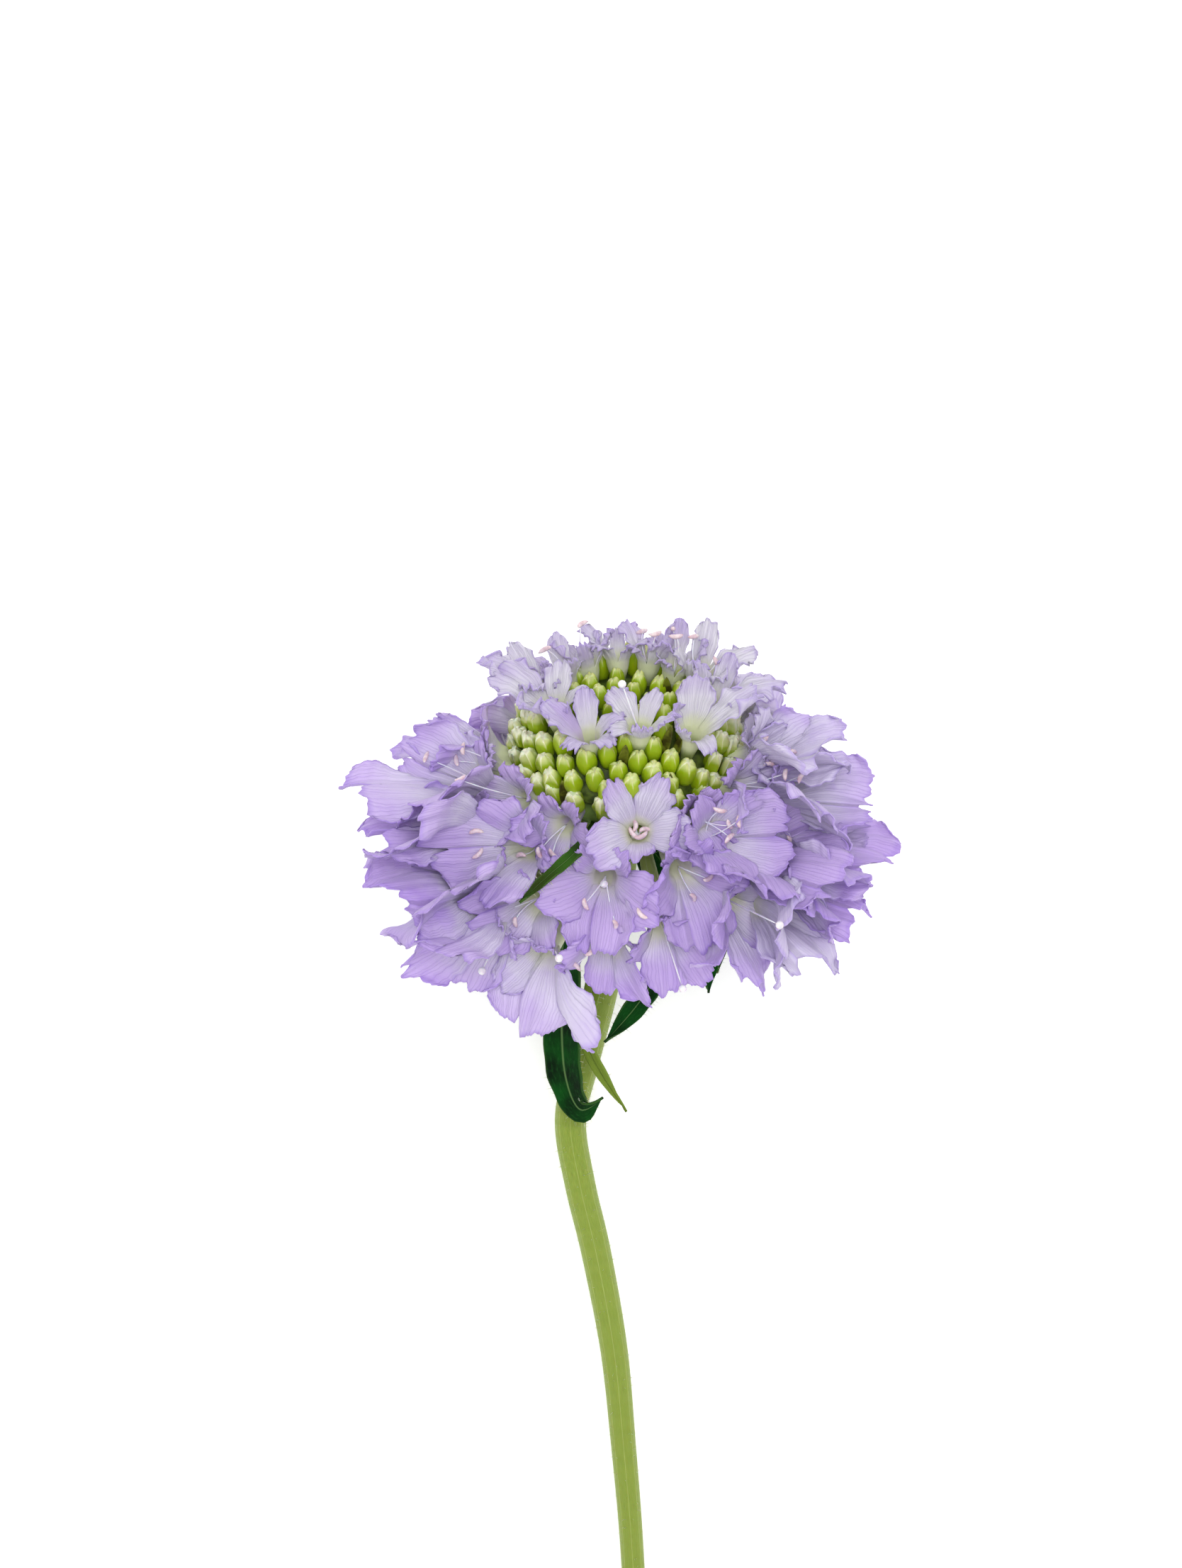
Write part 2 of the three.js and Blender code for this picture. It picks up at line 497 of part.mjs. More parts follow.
// Place i of the row of buds below the dome's edge.
function rimSite(i) {
  const turn = ((i + RIM.vary * wobble(i, 54)) * 360) / RIM.count;
  return { point: around(turn, RIM.radius, RIM.height), normal: around(turn, 1, 0), k: SITES + i };
}

// A bud at a site: narrow at its foot, widest at its belly and pointed at its top.
function budSolid({ point, normal, k }, share, grow) {
  const axis = normal.clone().lerp(V(0, 0, 1), BUD.upright).normalize();
  const size = share * (1 + BUD.vary * wobble(k, 50));
  const side = V(Math.cos(k), Math.sin(k), 0).cross(axis).normalize();
  const other = axis.clone().cross(side);
  const above = (height) => point.clone().addScaledVector(axis, height);
  const belly = turns(BUD.sides).map((a) => {
    const p = above(BUD.length * BUD.belly * size);
    p.addScaledVector(side, (BUD.radius * size + grow) * Math.cos(a));
    return p.addScaledVector(other, (BUD.radius * size + grow) * Math.sin(a));
  });
  const n = BUD.sides;
  const points = [...belly, above(-BUD.sunk - grow), above(BUD.length * size + grow)].map(toPart);
  const faces = turns(n).flatMap((_, i) => [[i, (i + 1) % n, n + 1], [(i + 1) % n, i, n]]);
  return solidFrom(points, faces);
}

const domeHeightAt = (r) => DOME.height * Math.sqrt(Math.max(0, 1 - (r / DOME.radius) ** 2));

// A floret that stands open on the dome.
function innerFloret([azimuth, r, tube, rise, open, ratio, lengths], k) {
  const point = around(azimuth, r, domeHeightAt(r));
  const axis = around(azimuth, Math.cos(rise * DEG), Math.sin(rise * DEG));
  const lobes = lengths.map((base, q) => {
    const length = base * (1 + RAGGED.length * wobble(k, 85 + q));
    const width = ratio * length * (1 + RAGGED.width * wobble(k, 95 + q));
    const turn = INNER_TURNS[q] + RAGGED.turn * wobble(k, 75 + q);
    return { turn, length, width, open: open + RAGGED.lean * wobble(k, 65 + q) };
  });
  const root = point.clone().addScaledVector(axis, -INNER_FLORET.sunk);
  const mouth = point.addScaledVector(axis, tube);
  const roll = RAGGED.roll * wobble(k, 3);
  return floret(SEEDS.inner + k, root, mouth, azimuth, rise, roll, INNER_FLORET, lobes, 1);
}

function domeProfile(grow) {
  const rim = Array.from({ length: DOME.rows }, (_, i) => {
    const a = ((Math.PI / 2) * i) / DOME.rows;
    return [(DOME.radius + grow) * Math.cos(a), (DOME.height + grow) * Math.sin(a)];
  });
  return [[0, -grow], [DOME.radius + grow, -grow], ...rim, [0, DOME.height + grow]];
}

// The hoop through the sites of the inner florets, and, grown, the tunnel of the dome that it lies in.
function hoopSolid(grow) {
  const sites = INNER.map(([azimuth, r]) => [azimuth, r]).sort((a, b) => a[0] - b[0]);
  const path = sites.flatMap(([azimuth, r], i) => {
    const [nextAzimuth, nextR] = sites[i + 1] ?? [sites[0][0] + 360, sites[0][1]];
    return [0, 0.5].map((t) => around(mix(azimuth, nextAzimuth, t), mix(r, nextR, t), 0));
  });
  const points = path.flatMap((p, i) => {
    const ahead = path[(i + 1) % path.length].clone().sub(path.at(i - 1));
    const outward = V(ahead.y, -ahead.x, 0).setLength(HOOP.width / 2 + grow);
    const low = domeHeightAt(p.length()) - HOOP.bottom - grow;
    const [inner, outer] = [p.clone().sub(outward), p.clone().add(outward)];
    const top = (q) => q.clone().setZ(domeHeightAt(q.length()) - HOOP.top + grow);
    return [inner.clone().setZ(low), outer.clone().setZ(low), top(outer), top(inner)];
  });
  const faces = [];
  for (let i = 0; i < points.length; i += 4) {
    for (let j = 0; j < 4; j++) {
      const [a, b] = [i + j, i + ((j + 1) % 4)];
      const [c, d] = [(b + 4) % points.length, (a + 4) % points.length];
      faces.push([a, c, b], [a, d, c]);
    }
  }
  return solidFrom(points.map(toPart), faces);
}

// The shaft of the dome that a floret's tube stands in.
function shaftSolid(f) {
  const heading = f.mouth.clone().sub(f.root);
  const ring = (t) => {
    const radius = (mix(f.foot, f.throat + BLADE / 2, t) + GAP) / Math.cos(Math.PI / SHAFT.sides);
    const centre = f.root.clone().addScaledVector(heading, t);
    return turns(SHAFT.sides).map((a) => toPart(centre.clone().addScaledVector(awayFrom(f, a), radius)));
  };
  return loftedSolid([ring(SHAFT.from), ring(SHAFT.to)]);
}

// ---------- bracts and stem ----------

// A Catmull-Rom value through the rows of a table at t from 0 to 1.
function through(rows, t) {
  const s = clamp01(t) * (rows.length - 1);
  const i = Math.min(rows.length - 2, Math.floor(s));
  const u = s - i;
  const row = (k) => rows[Math.min(rows.length - 1, Math.max(0, k))];
  const [a, b, c, d] = [row(i - 1), row(i), row(i + 1), row(i + 2)];
  const blend = (p, q, r, w) =>
    0.5 * (2 * q + (r - p) * u + (2 * p - 5 * q + 4 * r - w) * u * u + (3 * q - p - 3 * r + w) * u * u * u);
  return b.map((_, k) => blend(a[k], b[k], c[k], d[k]));
}

const pathPoint = (rows, t) => V(...through(rows, t)).add(HEAD);

// A bract as a keeled strap along its path, widest in its middle and pointed at its tip.
function bractSolid(bract, grow) {
  const half = BLADE / 2 + grow;
  const points = [];
  for (let i = 0; i <= BRACT.steps; i++) {
    const t = i / BRACT.steps;
    const p = pathPoint(bract.path, t);
    const along = pathPoint(bract.path, t + 0.02).sub(pathPoint(bract.path, t - 0.02)).normalize();
    const outward = V(BRACT.flare * (p.x - HEAD.x), 0, 1);
    const side = along.clone().cross(outward).normalize().applyAxisAngle(along, bract.twist * DEG * t ** 4);
    const normal = side.clone().cross(along);
    const swell = mix(BRACT.foot, 1, Math.sin(Math.PI * mix(BRACT.start, 1, t)));
    const w = (bract.width / 2) * (i === BRACT.steps ? BRACT.tip : swell) + grow;
    for (const [x, lift] of [[-1, BRACT.keel * w], [0, 0], [1, BRACT.keel * w]]) {
      const mid = rested(p.clone().addScaledVector(side, x * w).addScaledVector(normal, lift), BLADE);
      points.push(mid.clone().addScaledVector(normal, half), mid.clone().addScaledVector(normal, -half));
    }
  }
  const faces = [];
  const quad = (a, b, c, d) => faces.push([a, b, c], [a, c, d]);
  const top = (i, j) => i * 6 + j * 2;
  const low = (i, j) => i * 6 + j * 2 + 1;
  for (let i = 0; i < BRACT.steps; i++) {
    for (let j = 0; j < 2; j++) {
      quad(top(i, j), top(i, j + 1), top(i + 1, j + 1), top(i + 1, j));
      faces.push([low(i, j), low(i + 1, j + 1), low(i, j + 1)]);
      faces.push([low(i, j), low(i + 1, j), low(i + 1, j + 1)]);
    }
    quad(low(i, 0), top(i, 0), top(i + 1, 0), low(i + 1, 0));
    quad(top(i, 2), low(i, 2), low(i + 1, 2), top(i + 1, 2));
  }
  for (let j = 0; j < 2; j++) {
    quad(low(0, j), low(0, j + 1), top(0, j + 1), top(0, j));
    quad(top(BRACT.steps, j), top(BRACT.steps, j + 1), low(BRACT.steps, j + 1), low(BRACT.steps, j));
  }
  return solidFrom(points, faces);
}

// The stem. Past FLAT_FROM a flat of its section lies on the surface.
function stemSolid(grow) {
  const n = STEM_SIDES;
  const middle = STEM.map((row) => row.slice(0, 3));
  const rings = [];
  for (let i = 0; i <= STEM_STEPS; i++) {
    const t = i / STEM_STEPS;
    const [x, y, z, r] = through(STEM, t);
    const along = pathPoint(middle, t + 0.01).sub(pathPoint(middle, t - 0.01)).normalize();
    const side = V(0, 0, 1).cross(along).normalize();
    const up = along.clone().cross(side);
    const lying = r * Math.cos(Math.PI / n);
    const height = mix(Math.max(lying, z + HEAD.z), lying, clamp01((t - FLAT_FROM) / FLAT_BLEND + 1));
    const ring = turns(n).map((a) => {
      const angle = a + Math.PI / n;
      const p = V(HEAD.x + x, HEAD.y + y, height).addScaledVector(side, (r + grow) * Math.sin(angle));
      p.addScaledVector(up, -(r + grow) * Math.cos(angle));
      return t > FLAT_FROM && grow === 0 ? p.setZ(Math.max(0, p.z)) : p;
    });
    rings.push(ring);
  }
  return loftedSolid(rings);
}

// ---------- the flower ----------

const stem = stemSolid(0);
const stemRoom = stemSolid(GAP);

const collar = turnedSolid(COLLAR, 16);
const bracts = joined([collar, ...BRACTS.map((b) => bractSolid(b, 0))]).subtract(stemRoom);
const bractRoom = joined(BRACTS.map((b) => bractSolid(b, GAP)));

const outer = [
  ...OUTER.map((row, k) => floretSolid(outerFloret(row, SEEDS.outer + k, BIG_FLORET, row[0] < 0 ? 2 : 1))),
  ...SMALL.map((row, k) => floretSolid(outerFloret(row, SEEDS.small + k, SMALL_FLORET, 1))),
];
const domeRoom = turnedSolid(domeProfile(GAP), DOME.sides);
const outerWhole = joined([turnedSolid(BASE, 20), ...outer]);
const outerFlorets = wholePiece(outerWhole.subtract(bractRoom).subtract(stemRoom).subtract(domeRoom));

const openFlorets = INNER.map(innerFloret);
const inner = openFlorets.map(floretSolid);
const innerFlorets = joined([hoopSolid(0), ...inner]);

const shafts = joined(openFlorets.map(shaftSolid));
const shared = (a, b) => a.intersect(b).volume();

// Whether a bud of this size would stand too close to a petal, or lose too much of itself to a tube.
function crowded(site, size) {
  const bud = budSolid(site, size, 0);
  const room = budSolid(site, size, GAP);
  const close = shared(room, outerFlorets) + shared(room.subtract(shafts), innerFlorets) > TOUCH;
  return close || shared(bud, shafts) > (1 - BUD_LEFT) * bud.volume();
}

const sites = [
  ...Array.from({ length: SITES }, (_, k) => domeSite(k)),
  ...Array.from({ length: RIM.count }, (_, i) => rimSite(i)),
];
const buds = sites.flatMap((site) => {
  const size = BUD_SIZES.find((share) => !crowded(site, share));
  return size ? [budSolid(site, size, 0)] : [];
});
const dome = joined([turnedSolid(domeProfile(0), DOME.sides), ...buds]);
const budHead = dome.subtract(hoopSolid(GAP)).subtract(shafts);

const flower = new THREE.Group();
flower.add(
  meshOf("stem", stem, 0x97aa3c, 0.55),
  meshOf("bracts", bracts, 0x12401a, 0.6),
  meshOf("outer_florets", outerFlorets, 0xb09cdb, 0.6),
  meshOf("inner_florets", innerFlorets, 0xc3b8de, 0.6),
  meshOf("bud_head", budHead, 0x9fb82a, 0.5),
);

export default flower;
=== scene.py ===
import math
import random

import bmesh
import bpy
import numpy as np
from mathutils import Matrix, Vector


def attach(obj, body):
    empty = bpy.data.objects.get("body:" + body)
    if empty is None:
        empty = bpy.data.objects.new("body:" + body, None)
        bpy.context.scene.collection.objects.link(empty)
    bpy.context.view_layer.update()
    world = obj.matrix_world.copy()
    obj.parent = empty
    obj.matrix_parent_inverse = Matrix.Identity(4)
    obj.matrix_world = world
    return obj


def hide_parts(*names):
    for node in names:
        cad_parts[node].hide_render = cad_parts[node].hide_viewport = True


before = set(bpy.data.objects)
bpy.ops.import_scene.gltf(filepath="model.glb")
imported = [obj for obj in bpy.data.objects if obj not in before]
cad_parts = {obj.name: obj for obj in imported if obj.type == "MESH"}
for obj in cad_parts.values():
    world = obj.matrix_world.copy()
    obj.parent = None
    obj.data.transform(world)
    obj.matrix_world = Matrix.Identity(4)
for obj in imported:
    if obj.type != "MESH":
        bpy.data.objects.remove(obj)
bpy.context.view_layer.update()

MM = 0.001
DEG = math.pi / 180

# ---------- driving dimensions (mm, degrees) ----------

HEAD = np.array([0.6, 57.3, 27.0])  # centre of the bud dome's base circle
FACE_TILT = 36  # the face of the head looks this far up from the horizontal
REST_REACH = 2  # how far above the surface a petal starts to give way to it
PETAL_REST, BRACT_REST = 0.16, 0.3  # least height of their middle above the surface

# Bud dome: closed buds on a golden-angle spiral, and one more row below the dome's edge.
DOME_RADIUS, DOME_HEIGHT = 12.4, 6.3
SITES, GOLDEN = 112, 137.508
EDGE_SHARE = 0.1  # the dome counts as this much steeper, so that more sites lie near its edge
RIM = {"count": 28, "radius": 12.7, "height": -1.1, "vary": 0.3, "seed": 200}
BUD_RADIUS, BUD_LENGTH, BUD_SUNK = 1.22, 3.4, 0.6
BUD_UPRIGHT = 0.72  # how far a bud turns from the dome's normal towards its axis
BUD_VARY = 0.08  # share by which buds differ in size
SMALLER = {"aside": 0.16, "centre": 0.2}  # how much smaller the buds at the sides and in the middle are
ASIDE_FROM, CENTRE_TO = (30, 80), (6, 20)  # sites, counted outwards, over which the two come in and fade
RIM_SIZE, RIM_ASIDE = 0.95, 0.15  # the same for the row below the edge
CRINKLE_DEPTH, CRINKLE_WAVES = (0.04, 0.16), (6, 11)  # from a smooth bud to the most crinkled
OPEN_ROOM = 1.5  # no bud stands closer than this to the site of an open floret

# Lower receptacle and the bracts' collar, turned about the head's axis: radius and height, upwards.
BASE = [(0, -10.2), (3.4, -10.2), (6.2, -8.4), (9.4, -5.4), (11.2, -3.2), (11.2, -0.6), (0, -0.6)]
COLLAR = [(0, -12.4), (3.9, -12.4), (4.3, -10.5), (0, -10.5)]

# Large outer florets: azimuth, radius and height of the throat, rise of its axis, roll, then three lobes as
# (turn, length, width over length, lean at the tip) and the length of the two small upper lobes.
OUTER = [
    (-163, 17.0, -3.0, 40, 0, (0, 18, 0.62, 22), (80, 15, 0.9, 50), (288, 11.5, 0.85, 50), 5.5),
    (-154, 19.0, -6.0, 40, 10, (-8, 15, 0.75, 22), (56, 18, 0.8, 35), (296, 9.5, 0.8, 50), 5.5),
    (-130, 16.5, -5.5, 30, -60, (-8, 13.5, 0.8, 50), (56, 10, 1.0, 70), (304, 8.5, 0.8, 60), 6.5),
    (-141, 20.0, -10.5, 40, 0, (-16, 16.5, 1.0, 22), (56, 19, 0.9, 35), (304, 10, 0.7, 50), 5.5),
    (-131, 21.5, -13.5, -10, -70, (0, 13.5, 0.55, 30), (56, 9.5, 0.8, 60), (256, 15, 0.9, 35), 5.5),
    (-121, 19.0, -10.5, 10, -20, (-8, 8, 0.8, 60), (64, 6.5, 0.8, 70), (304, 10, 0.9, 45), 5.5),
    (-117, 20.0, -16.5, -10, 0, (0, 10, 1.15, 50), (80, 15.5, 0.45, 75), (304, 7.5, 0.7, 50), 5.5),
    (-98, 17.0, -7.0, 20, 0, (0, 9.5, 0.95, 80), (72, 9.5, 0.8, 75), (280, 9, 0.9, 80), 6.5),
    (-68, 17.0, -6.5, 15, 0, (0, 10, 0.9, 75), (80, 8, 0.8, 70), (280, 8, 0.8, 75), 6),
    (-96, 18.5, -14.5, -10, -30, (24, 6.5, 0.7, 45), (80, 9, 0.6, 70), (270, 9, 0.6, 50), 5.0),
    (-77, 19.0, -12.5, -10, -10, (8, 8, 0.8, 60), (56, 8.5, 0.8, 45), (280, 6.5, 0.8, 60), 5.0),
    (-54, 19.5, -11.0, 0, -30, (8, 12, 0.6, 35), (80, 8, 0.7, 60), (280, 14, 0.7, 60), 5.5),
    (-55, 17.0, -3.5, 40, 50, (16, 10.5, 1.0, 55), (56, 9, 0.8, 60), (304, 8.5, 0.9, 55), 6.5),
    (-42, 21.0, -12.0, 10, -30, (0, 13, 0.95, 25), (72, 9, 0.8, 50), (288, 16, 0.8, 60), 5.5),
    (-43, 18.5, -8.0, 50, 10, (8, 15.5, 0.95, 40), (68, 11.5, 0.9, 70), (304, 15, 0.8, 45), 5.5),
    (-30, 21.0, -11.5, 20, -10, (0, 12, 0.8, 22), (56, 9, 0.8, 50), (280, 15, 0.7, 50), 5.5),
    (-25, 20.5, -8.5, 30, 0, (16, 13.5, 1.0, 25), (64, 10.5, 0.8, 45), (296, 14, 0.7, 35), 5.5),
    (-21, 18.5, -2.5, 30, 0, (24, 12.5, 0.9, 30), (64, 10.5, 0.8, 45), (280, 15, 0.85, 50), 5.5),
    (-12, 15.5, -0.5, 50, 0, (0, 12.5, 0.9, 22), (56, 9.5, 0.8, 45), (288, 15, 0.8, 45), 5.5),
    (175, 15.5, -2.5, 30, 10, (0, 12.5, 0.6, 22), (80, 10, 0.6, 50), (288, 10.5, 0.3, 60), 5.5),
]
OUTER += [
    (azimuth, 17.0, z, 0, 0, (0, 10.5, 0.95, 50), (80, 10, 0.9, 60), (280, 10, 0.9, 60), 5.5)
    for azimuth, z in ((22, -7.0), (54, -9.5), (86, -10.0), (118, -10.0), (150, -8.5))
]
OUTER += [
    (azimuth, r, z, 10, 0, (0, length, 0.95, lean), (80, 8, 0.9, 60), (280, 8, 0.9, 60), 5.0)
    for azimuth, r, z, length, lean in (
        (4, 16.0, -7.0, 9.5, 50), (38, 15.5, -5.5, 9, 55), (70, 15.5, -6.0, 9, 55),
        (102, 15.5, -6.0, 9, 55), (134, 15.5, -5.5, 9, 55), (167, 16.0, -7.0, 9.5, 50),
    )
]
# Small florets beside the buds, in the same terms.
SMALL = [
    (-84, 14.5, -2.5, 50, 0, (-16, 5, 0.9, 65), (80, 7, 0.8, 80), (296, 8.5, 0.7, 80), 8),
    (-119, 14.5, -2.5, 20, 0, (0, 6, 0.8, 80), (80, 6, 0.8, 80), (280, 6, 0.8, 80), 5),
    (-142, 14.8, -1.5, 20, 0, (0, 7, 0.8, 80), (80, 7, 0.8, 80), (280, 7, 0.8, 80), 5),
    (-171, 15.2, -2.0, 20, 0, (0, 7, 0.8, 80), (80, 7, 0.8, 80), (280, 7, 0.8, 80), 5),
    (-58, 14.8, -1.5, 20, 0, (0, 7, 0.8, 80), (80, 7, 0.8, 80), (280, 7, 0.8, 80), 5),
    (-34, 15.2, 0.0, 20, 0, (0, 9, 0.8, 80), (80, 8, 0.8, 80), (280, 8, 0.8, 80), 6),
    (-15, 14.6, 1.0, 20, 20, (0, 5.5, 0.9, 60), (80, 6, 0.9, 60), (280, 7, 0.8, 60), 7),
    (21, 14.4, -0.5, 40, 0, (16, 5.5, 0.9, 60), (64, 8, 0.9, 60), (280, 8, 0.8, 60), 7),
]
# Open florets on the dome: azimuth and radius of the site, length and rise of the tube, lean at the lobes'
# tips, width of the lobes over their length, and the lengths of the five lobes: the outer one, then round
# by the right.
INNER = [
    (-115, 9.4, 3.8, 78, 56, 0.6, (4, 4, 4.5, 5.5, 7)),
    (-79, 8.4, 3.8, 80, 52, 0.6, (3.5, 5, 4.5, 5.5, 4)),
    (-46, 10.4, 3.8, 78, 56, 0.6, (4, 8.5, 6.5, 4, 4)),
    (-151, 8.7, 3.8, 78, 58, 0.55, (6, 4, 4, 5.5, 8.5)),
    (-179, 9.2, 3.8, 76, 50, 0.5, (8, 6, 3.5, 3.5, 7)),
    (-12, 9.8, 3.8, 78, 48, 0.5, (8, 7, 5, 4, 5)),
    (14, 8.2, 3.4, 76, 42, 0.5, (8, 7, 4, 3.5, 5)),
    (30, 6.0, 2.8, 74, 34, 0.44, (5, 5.5, 3.5, 3.5, 4.5)),
    (62, 5.4, 2.8, 72, 30, 0.42, (4, 5, 3.5, 4.5, 4)),
    (98, 5.2, 2.8, 72, 30, 0.42, (4, 4.5, 4.5, 3.5, 4.5)),
    (134, 5.6, 2.8, 72, 36, 0.36, (4, 5, 4, 5, 3.5)),
    (160, 6.8, 3.0, 74, 46, 0.45, (6, 4, 3.5, 3.5, 5)),
]
# Radius of the throat and of the tube's foot, lean of the lobes at the throat, how strongly they crumple and
# curl, and how far from the head's axis, or below the dome, the tube starts.
BIG_FLORET = {"throat": 1.4, "foot": 0.7, "lean": 16, "crumple": 1.0, "curl": 0.0, "root": 7.5}
SMALL_FLORET = {"throat": 1.15, "foot": 0.6, "lean": 20, "crumple": 1.4, "curl": 0.7, "root": 8.5}
INNER_FLORET = {"throat": 1.35, "foot": 0.5, "lean": 26, "crumple": 2.0, "curl": 1.3, "sunk": 2.2}
UPPER = {"turns": (150, 210), "ratio": 0.6, "open": 68}  # the two small upper lobes
INNER_TURNS = (0, 76, 148, 212, 284)
TUBE_ROOT = {"share": 0.4, "below": 1, "lowest": -6.5}  # its height, from the height of the mouth
TUBE_BENDS = (0.4, 0.35)  # how far from the root and from the mouth a tube bends, as shares of its length
SEEDS = {"outer": 0, "small": 60, "inner": 300}  # where each kind's row of wobbles starts
RAGGED = {"length": 0.14, "width": 0.15, "turn": 9, "lean": 20, "roll": 14}  # how far inner florets stray

# Blade of a lobe.
ROUND, SPLIT_ROUND = 0.24, 0.15  # share of its length that a whole and a split lobe's corners fall short
WIDEST = 0.74  # where along its length it is widest
NARROWING = 0.22  # share of its width that it loses from there to its tip
CUP, TWIST, TWIST_WIDTH = 0.16, 0.4, 6.0  # greatest hollow and twist over its width, which counts up to 6 mm
RUFFLE = {"height": 0.9, "from": 5, "full": 12, "waves": 4.2}  # large waves across it, by its length
HANG, DROOP = np.array([0, -0.94, -0.342]), 0.004  # the way it droops, and how much per square millimetre
PETAL_THICKNESS = 0.16
# Its tip's edge: depths are shares of its length, places and widths run from -1 to 1 across it.
SCALLOPS = [(0.035, 4), (0.025, 9)]  # depth, and waves in radians from its middle to its side
NOTCH = {"depth": 0.07, "place": 0.6, "width": 0.08}
CLEFT = {"depth": 0.16, "vary": 0.05, "width": 0.07, "step": 0.03, "edge": 0.05}  # between its parts
TEETH = {"height": 0.13, "fine": 4.4, "coarse": 1.9, "share": 1.2}
# Its sides: ripples of its width as (share, radians along it), and one of a fixed length.
SIDE_WAVES, SIDE_RIPPLE = [(0.05, 8), (0.02, 21)], {"height": 0.32, "waves": 3.2}
# Its surface, in mm: ripples as (height, radians across, power that they grow with), and the rest.
RIPPLES = [(0.42, 9, 3), (0.22, 19, 5)]
FLUTE = {"height": 0.4, "waves": 13}  # waves along its sides
GROOVE = {"depth": 0.22, "width": 0.13}  # along its middle
PLEAT = {"height": 0.09, "waves": 33}
OVERLAP = {"step": 0.5, "edge": 0.04}  # one part of a split lobe over the next

# Bracts: greatest width, twist at the tip, and points along the blade from the head's centre.
BRACTS = [
    (5.0, 55, [(-2, -10.9, -4.4), (-5.4, -17, -5), (-7.4, -24, -8), (-7.6, -32, -11.5),
               (-7.2, -40, -15), (-5.4, -44.6, -16.8), (-2.6, -43.2, -15.5)]),
    (2.0, 20, [(-0.6, -11.2, -4), (-1.4, -20, -7), (-4.1, -31, -12.5), (-4.4, -37, -14.5),
               (0.3, -45, -17.5)]),
    (3.4, -10, [(1.2, -11.2, -4.1), (4.6, -18, -5), (5.2, -25, -8), (2, -31, -10.5), (-2.4, -36.2, -11.5)]),
    (3.6, 10, [(2.7, -10.5, -5), (7.5, -15, -7), (10, -22, -10), (10.3, -30.2, -13)]),
    (3.2, 0, [(3.3, -8.5, -7.7), (8.5, -12, -12), (12, -19, -16), (11.5, -28, -19)]),
    (3.2, 0, [(-3.3, -8.5, -7.7), (-8.8, -12, -12), (-12.6, -19, -16), (-12.4, -28, -19)]),
    (3.0, 0, [(-1.75, -7.5, -9.1), (-5, -8, -15), (-8.6, -14, -21), (-10.4, -23, -24.3)]),
    (3.0, 0, [(1.75, -7.5, -9.1), (4.5, -8, -15), (7.4, -14, -21.3), (8.6, -23, -24.6)]),
    (1.5, 0, [(-3.2, -8.6, 3.0), (-4.4, -11.2, 9.5), (-6.4, -13.2, 15.2), (-9.2, -15.6, 14.9),
              (-12.4, -18.6, 12.6)]),
]
BRACT_THICKNESS = 0.34
# Shares of a bract's width at its foot and tip, where it starts in its swell and where its tip starts, rise
# of its edges over its half width, and how far those at the sides face outwards.
BRACT = {"foot": 0.45, "tip": 0.04, "start": 0.12, "taper": 0.84, "keel": 0.22, "flare": 0.03}
BRACT_RIPPLES = [(0.05, 31), (0.03, 67)]  # of its width: share, and radians along it
BRACT_WAVE = {"height": 0.12, "waves": 24}  # how its sides rise and fall (mm, radians along it)
YELLOWED = {1: 1.0, 8: 0.15}  # bracts that are yellower than the others, and by how much

# Stem centreline from the neck to the cut end: x, y and z from the head's centre, and radius.
STEM = [
    (0.0, -8.9, -6.5, 2.6), (-0.3, -12.6, -9.1, 2.05), (-1.2, -20.5, -13.6, 1.95),
    (-2.6, -29.7, -18.0, 1.95), (-5.1, -39.4, -21.6, 2.0), (-6.6, -46.5, -23.5, 1.95),
    (-5.4, -54.5, -24.6, 1.9), (-3.4, -63.0, -25.1, 1.85), (-1.2, -75.0, -25.4, 1.7),
    (0.0, -87.0, -25.5, 1.55), (1.0, -99.0, -25.6, 1.45), (1.6, -112.0, -25.6, 1.42),
    (1.6, -128.0, -25.6, 1.42),
]
STEM_SIDES, STEM_STEPS = 32, 150
SOLID_SIDES = 12  # sides of the solid stem: the middle of one lies on the surface
FLAT_FROM, FLAT_BLEND = 0.72, 0.15  # where along it the stem lies flat, and the share over which it sinks
RIBS, RIB_DEPTH = 8, 0.025
CUT_HOLLOW = 0.25  # depth of the pith in the cut end

# ---------- helpers ----------


def clamp01(t):
    return np.clip(t, 0.0, 1.0)


def mix(a, b, t):
    return a + (b - a) * t


def smooth(low, high, x):
    t = clamp01((x - low) / (high - low))
    return t * t * (3 - 2 * t)


def unit(v):
    v = np.asarray(v, float)
    return v / np.linalg.norm(v, axis=-1, keepdims=True)


def wobble(k, salt):
    """A repeatable number from -1 to 1 for whole numbers k and salt. Each use has a salt of its own."""
    s = math.sin(k * 12.9898 + salt * 78.233) * 43758.5453
    return 2 * (s - math.floor(s)) - 1


def soft_max(a, floor, reach):
    """The larger of a and floor, rounded off where they are within reach of each other."""
    h = clamp01(0.5 + 0.5 * (a - floor) / reach)
    return mix(floor, a, h) + reach * h * (1 - h)


def rested(points, least):
    """Points that give way to the surface, so that none is lower than least."""
    points[..., 2] = soft_max(points[..., 2], least, REST_REACH)
    return points


HEAD_TURN = np.array(Matrix.Rotation((FACE_TILT - 90) * DEG, 3, "X"))


def to_part(points):
    """From the head's own frame (axis +z, front of the head towards -y) to the part's frame."""
    return np.asarray(points, float) @ HEAD_TURN.T + HEAD


def turned_to_part(directions):
    """The same for directions."""
    return np.asarray(directions, float) @ HEAD_TURN.T


def around(azimuth, r, z):
    """The point at an azimuth, radius and height."""
    return np.array([r * math.cos(azimuth * DEG), r * math.sin(azimuth * DEG), z])


